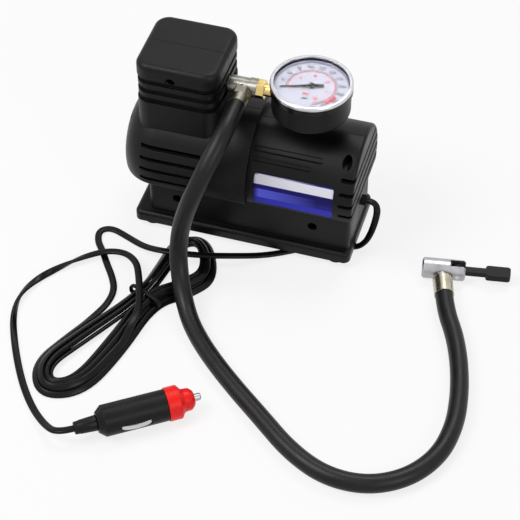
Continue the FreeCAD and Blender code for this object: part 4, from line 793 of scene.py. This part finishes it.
def tie_place(around, along):
    """A point of the tie, a soft band drawn tight round the bundle's waist."""
    angle = 2 * math.pi * around
    bulge = TIE_BULGE * (1 - (2 * along - 1) ** 2)
    half = TIE_HALF_WIDTH + CORD_WIDE / 2 + bulge
    rise = (TIE_HIGH - TIE_LOW) / 2
    out = flattened(math.cos(angle)) * half
    up = flattened(math.sin(angle)) * (rise + bulge)
    turn = Matrix.Rotation(math.radians(TIE_TURN), 3, "Z")
    place = turn @ Vector(((along - 0.5) * TIE_WIDE, out, 0))
    return (TIE_CENTRE + place + Vector((0, 0, TIE_LOW + rise + up))) * MM


def tie(material):
    mesh = sheet_mesh("tie_band", TIE_CELLS, tie_place)
    made = piece("tie_band", mesh, material, "inflator")
    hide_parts("cord_tie")
    thicken(made, TIE_THICK, offset=0.0)


# Plug


def turned(name, profile, material, replaced):
    """A lathed piece on the plug's axis, from a profile of places along it and radii."""
    turn = Matrix.Rotation(math.radians(PLUG_TURN), 3, "Z")

    def place(around, along):
        where, radius = profile[round(along * (len(profile) - 1))]
        angle = 2 * math.pi * around
        offset = Vector((where, radius * math.cos(angle), radius * math.sin(angle)))
        return (PLUG_PLACE + turn @ offset) * MM

    mesh = sheet_mesh(name, (PLUG_SIDES, len(profile) - 1), place)
    clean = bmesh.new()
    clean.from_mesh(mesh)
    bmesh.ops.remove_doubles(clean, verts=clean.verts, dist=WELD_GAP * MM)
    bmesh.ops.recalc_face_normals(clean, faces=clean.faces)
    clean.to_mesh(mesh)
    clean.free()
    made = piece(name, mesh, material, "inflator")
    mesh.set_sharp_from_angle(angle=math.radians(SHARP_ANGLE))
    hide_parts(replaced)


def plug_cap(material):
    """The red cap: a grip ring, a shoulder and a nose with a hole for the tip."""
    turned("plug_cap", CAP_PROFILE, material, "plug_nose")


def plug_sleeve(material):
    """The short sleeve that guards the cord where it leaves the plug."""
    turned("plug_sleeve", SLEEVE_PROFILE, material, "plug_relief")


# Stage, lights and camera


def seen(tree):
    """One where the camera, a reflection or a view through glass looks, and nought elsewhere."""
    path = add(tree, "LightPath")
    total = path.outputs["Is Camera Ray"]
    for name in ("Is Glossy Ray", "Is Transmission Ray"):
        larger = tree.nodes.new("ShaderNodeMath")
        larger.operation = "MAXIMUM"
        tree.links.new(total, larger.inputs[0])
        tree.links.new(path.outputs[name], larger.inputs[1])
        total = larger.outputs[0]
    return total


def floor_place(across, deep):
    return Vector((2 * FLOOR_HALF_M * across - FLOOR_HALF_M,
                   2 * FLOOR_HALF_M * deep - FLOOR_HALF_M, 0))


def floor():
    """A pale floor that keeps the object's shadow and runs into a white background."""
    mesh = sheet_mesh("floor", FLOOR_CELLS, floor_place)
    made = new_object("floor", mesh)
    material, shader, tree = blank("floor_white",
                                   Base_Color=(FLOOR_WHITE, FLOOR_WHITE, FLOOR_WHITE, 1),
                                   Roughness=0.9, Specular_IOR_Level=0.0)
    glow = add(tree, "Emission", Color=(1, 1, 1, 1), Strength=1.0)
    share = tree.nodes.new("ShaderNodeMath")
    share.operation = "MULTIPLY"
    share.inputs[1].default_value = FLOOR_GLOW
    tree.links.new(seen(tree), share.inputs[0])
    mix = add(tree, "MixShader")
    tree.links.new(share.outputs[0], mix.inputs["Fac"])
    tree.links.new(shader.outputs["BSDF"], mix.inputs[1])
    tree.links.new(glow.outputs["Emission"], mix.inputs[2])
    tree.links.new(mix.outputs["Shader"], tree.nodes["Material Output"].inputs["Surface"])
    mesh.materials.append(material)


def world():
    """A dim even sky on the object, white where it is looked at."""
    made = bpy.data.worlds.new("studio")
    made.use_nodes = True
    tree = made.node_tree
    sky = tree.nodes["Background"]
    sky.inputs["Color"].default_value = (1, 1, 1, 1)
    tree.links.new(between(tree, seen(tree), SKY_LIGHT, 1.0, 0.0, 1.0), sky.inputs["Strength"])
    bpy.context.scene.world = made


def aimed(name, data, place, target):
    """A light or camera at a place in metres, turned to a target."""
    made = new_object(name, data)
    made.location = place
    made.rotation_euler = (target - place).to_track_quat("-Z", "Y").to_euler()
    return made


def lights():
    for name, place, target, size, power in SOFTBOXES:
        lamp = bpy.data.lights.new(name, "AREA")
        lamp.shape = "DISK"
        lamp.size = size
        lamp.energy = power
        aimed(name, lamp, Vector(place), Vector(target))


def camera():
    lens = bpy.data.cameras.new("camera")
    lens.lens = CAMERA_LENS
    lens.sensor_width = CAMERA_SENSOR
    lens.clip_end = CAMERA_FAR_M
    bpy.context.scene.camera = aimed("camera", lens, Vector(CAMERA_PLACE) * MM,
                                     Vector(CAMERA_TARGET) * MM)


def corners(bounds):
    return [list(map(float, corner)) for corner in bounds]


def main():
    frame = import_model()
    made = finishes()
    dress(frame, made)
    camera()
    lights()
    world()
    floor()
    hose(made["hose_rubber"])
    tie(made["rubber_black"])
    plug_cap(made["red_plastic"])
    plug_sleeve(made["plug_black"])
    cord(made["cord_pvc"])
    label()
    dial_print()
    dial_wall(made["liner"])
    bpy.context.scene.view_settings.view_transform = "Standard"


main()
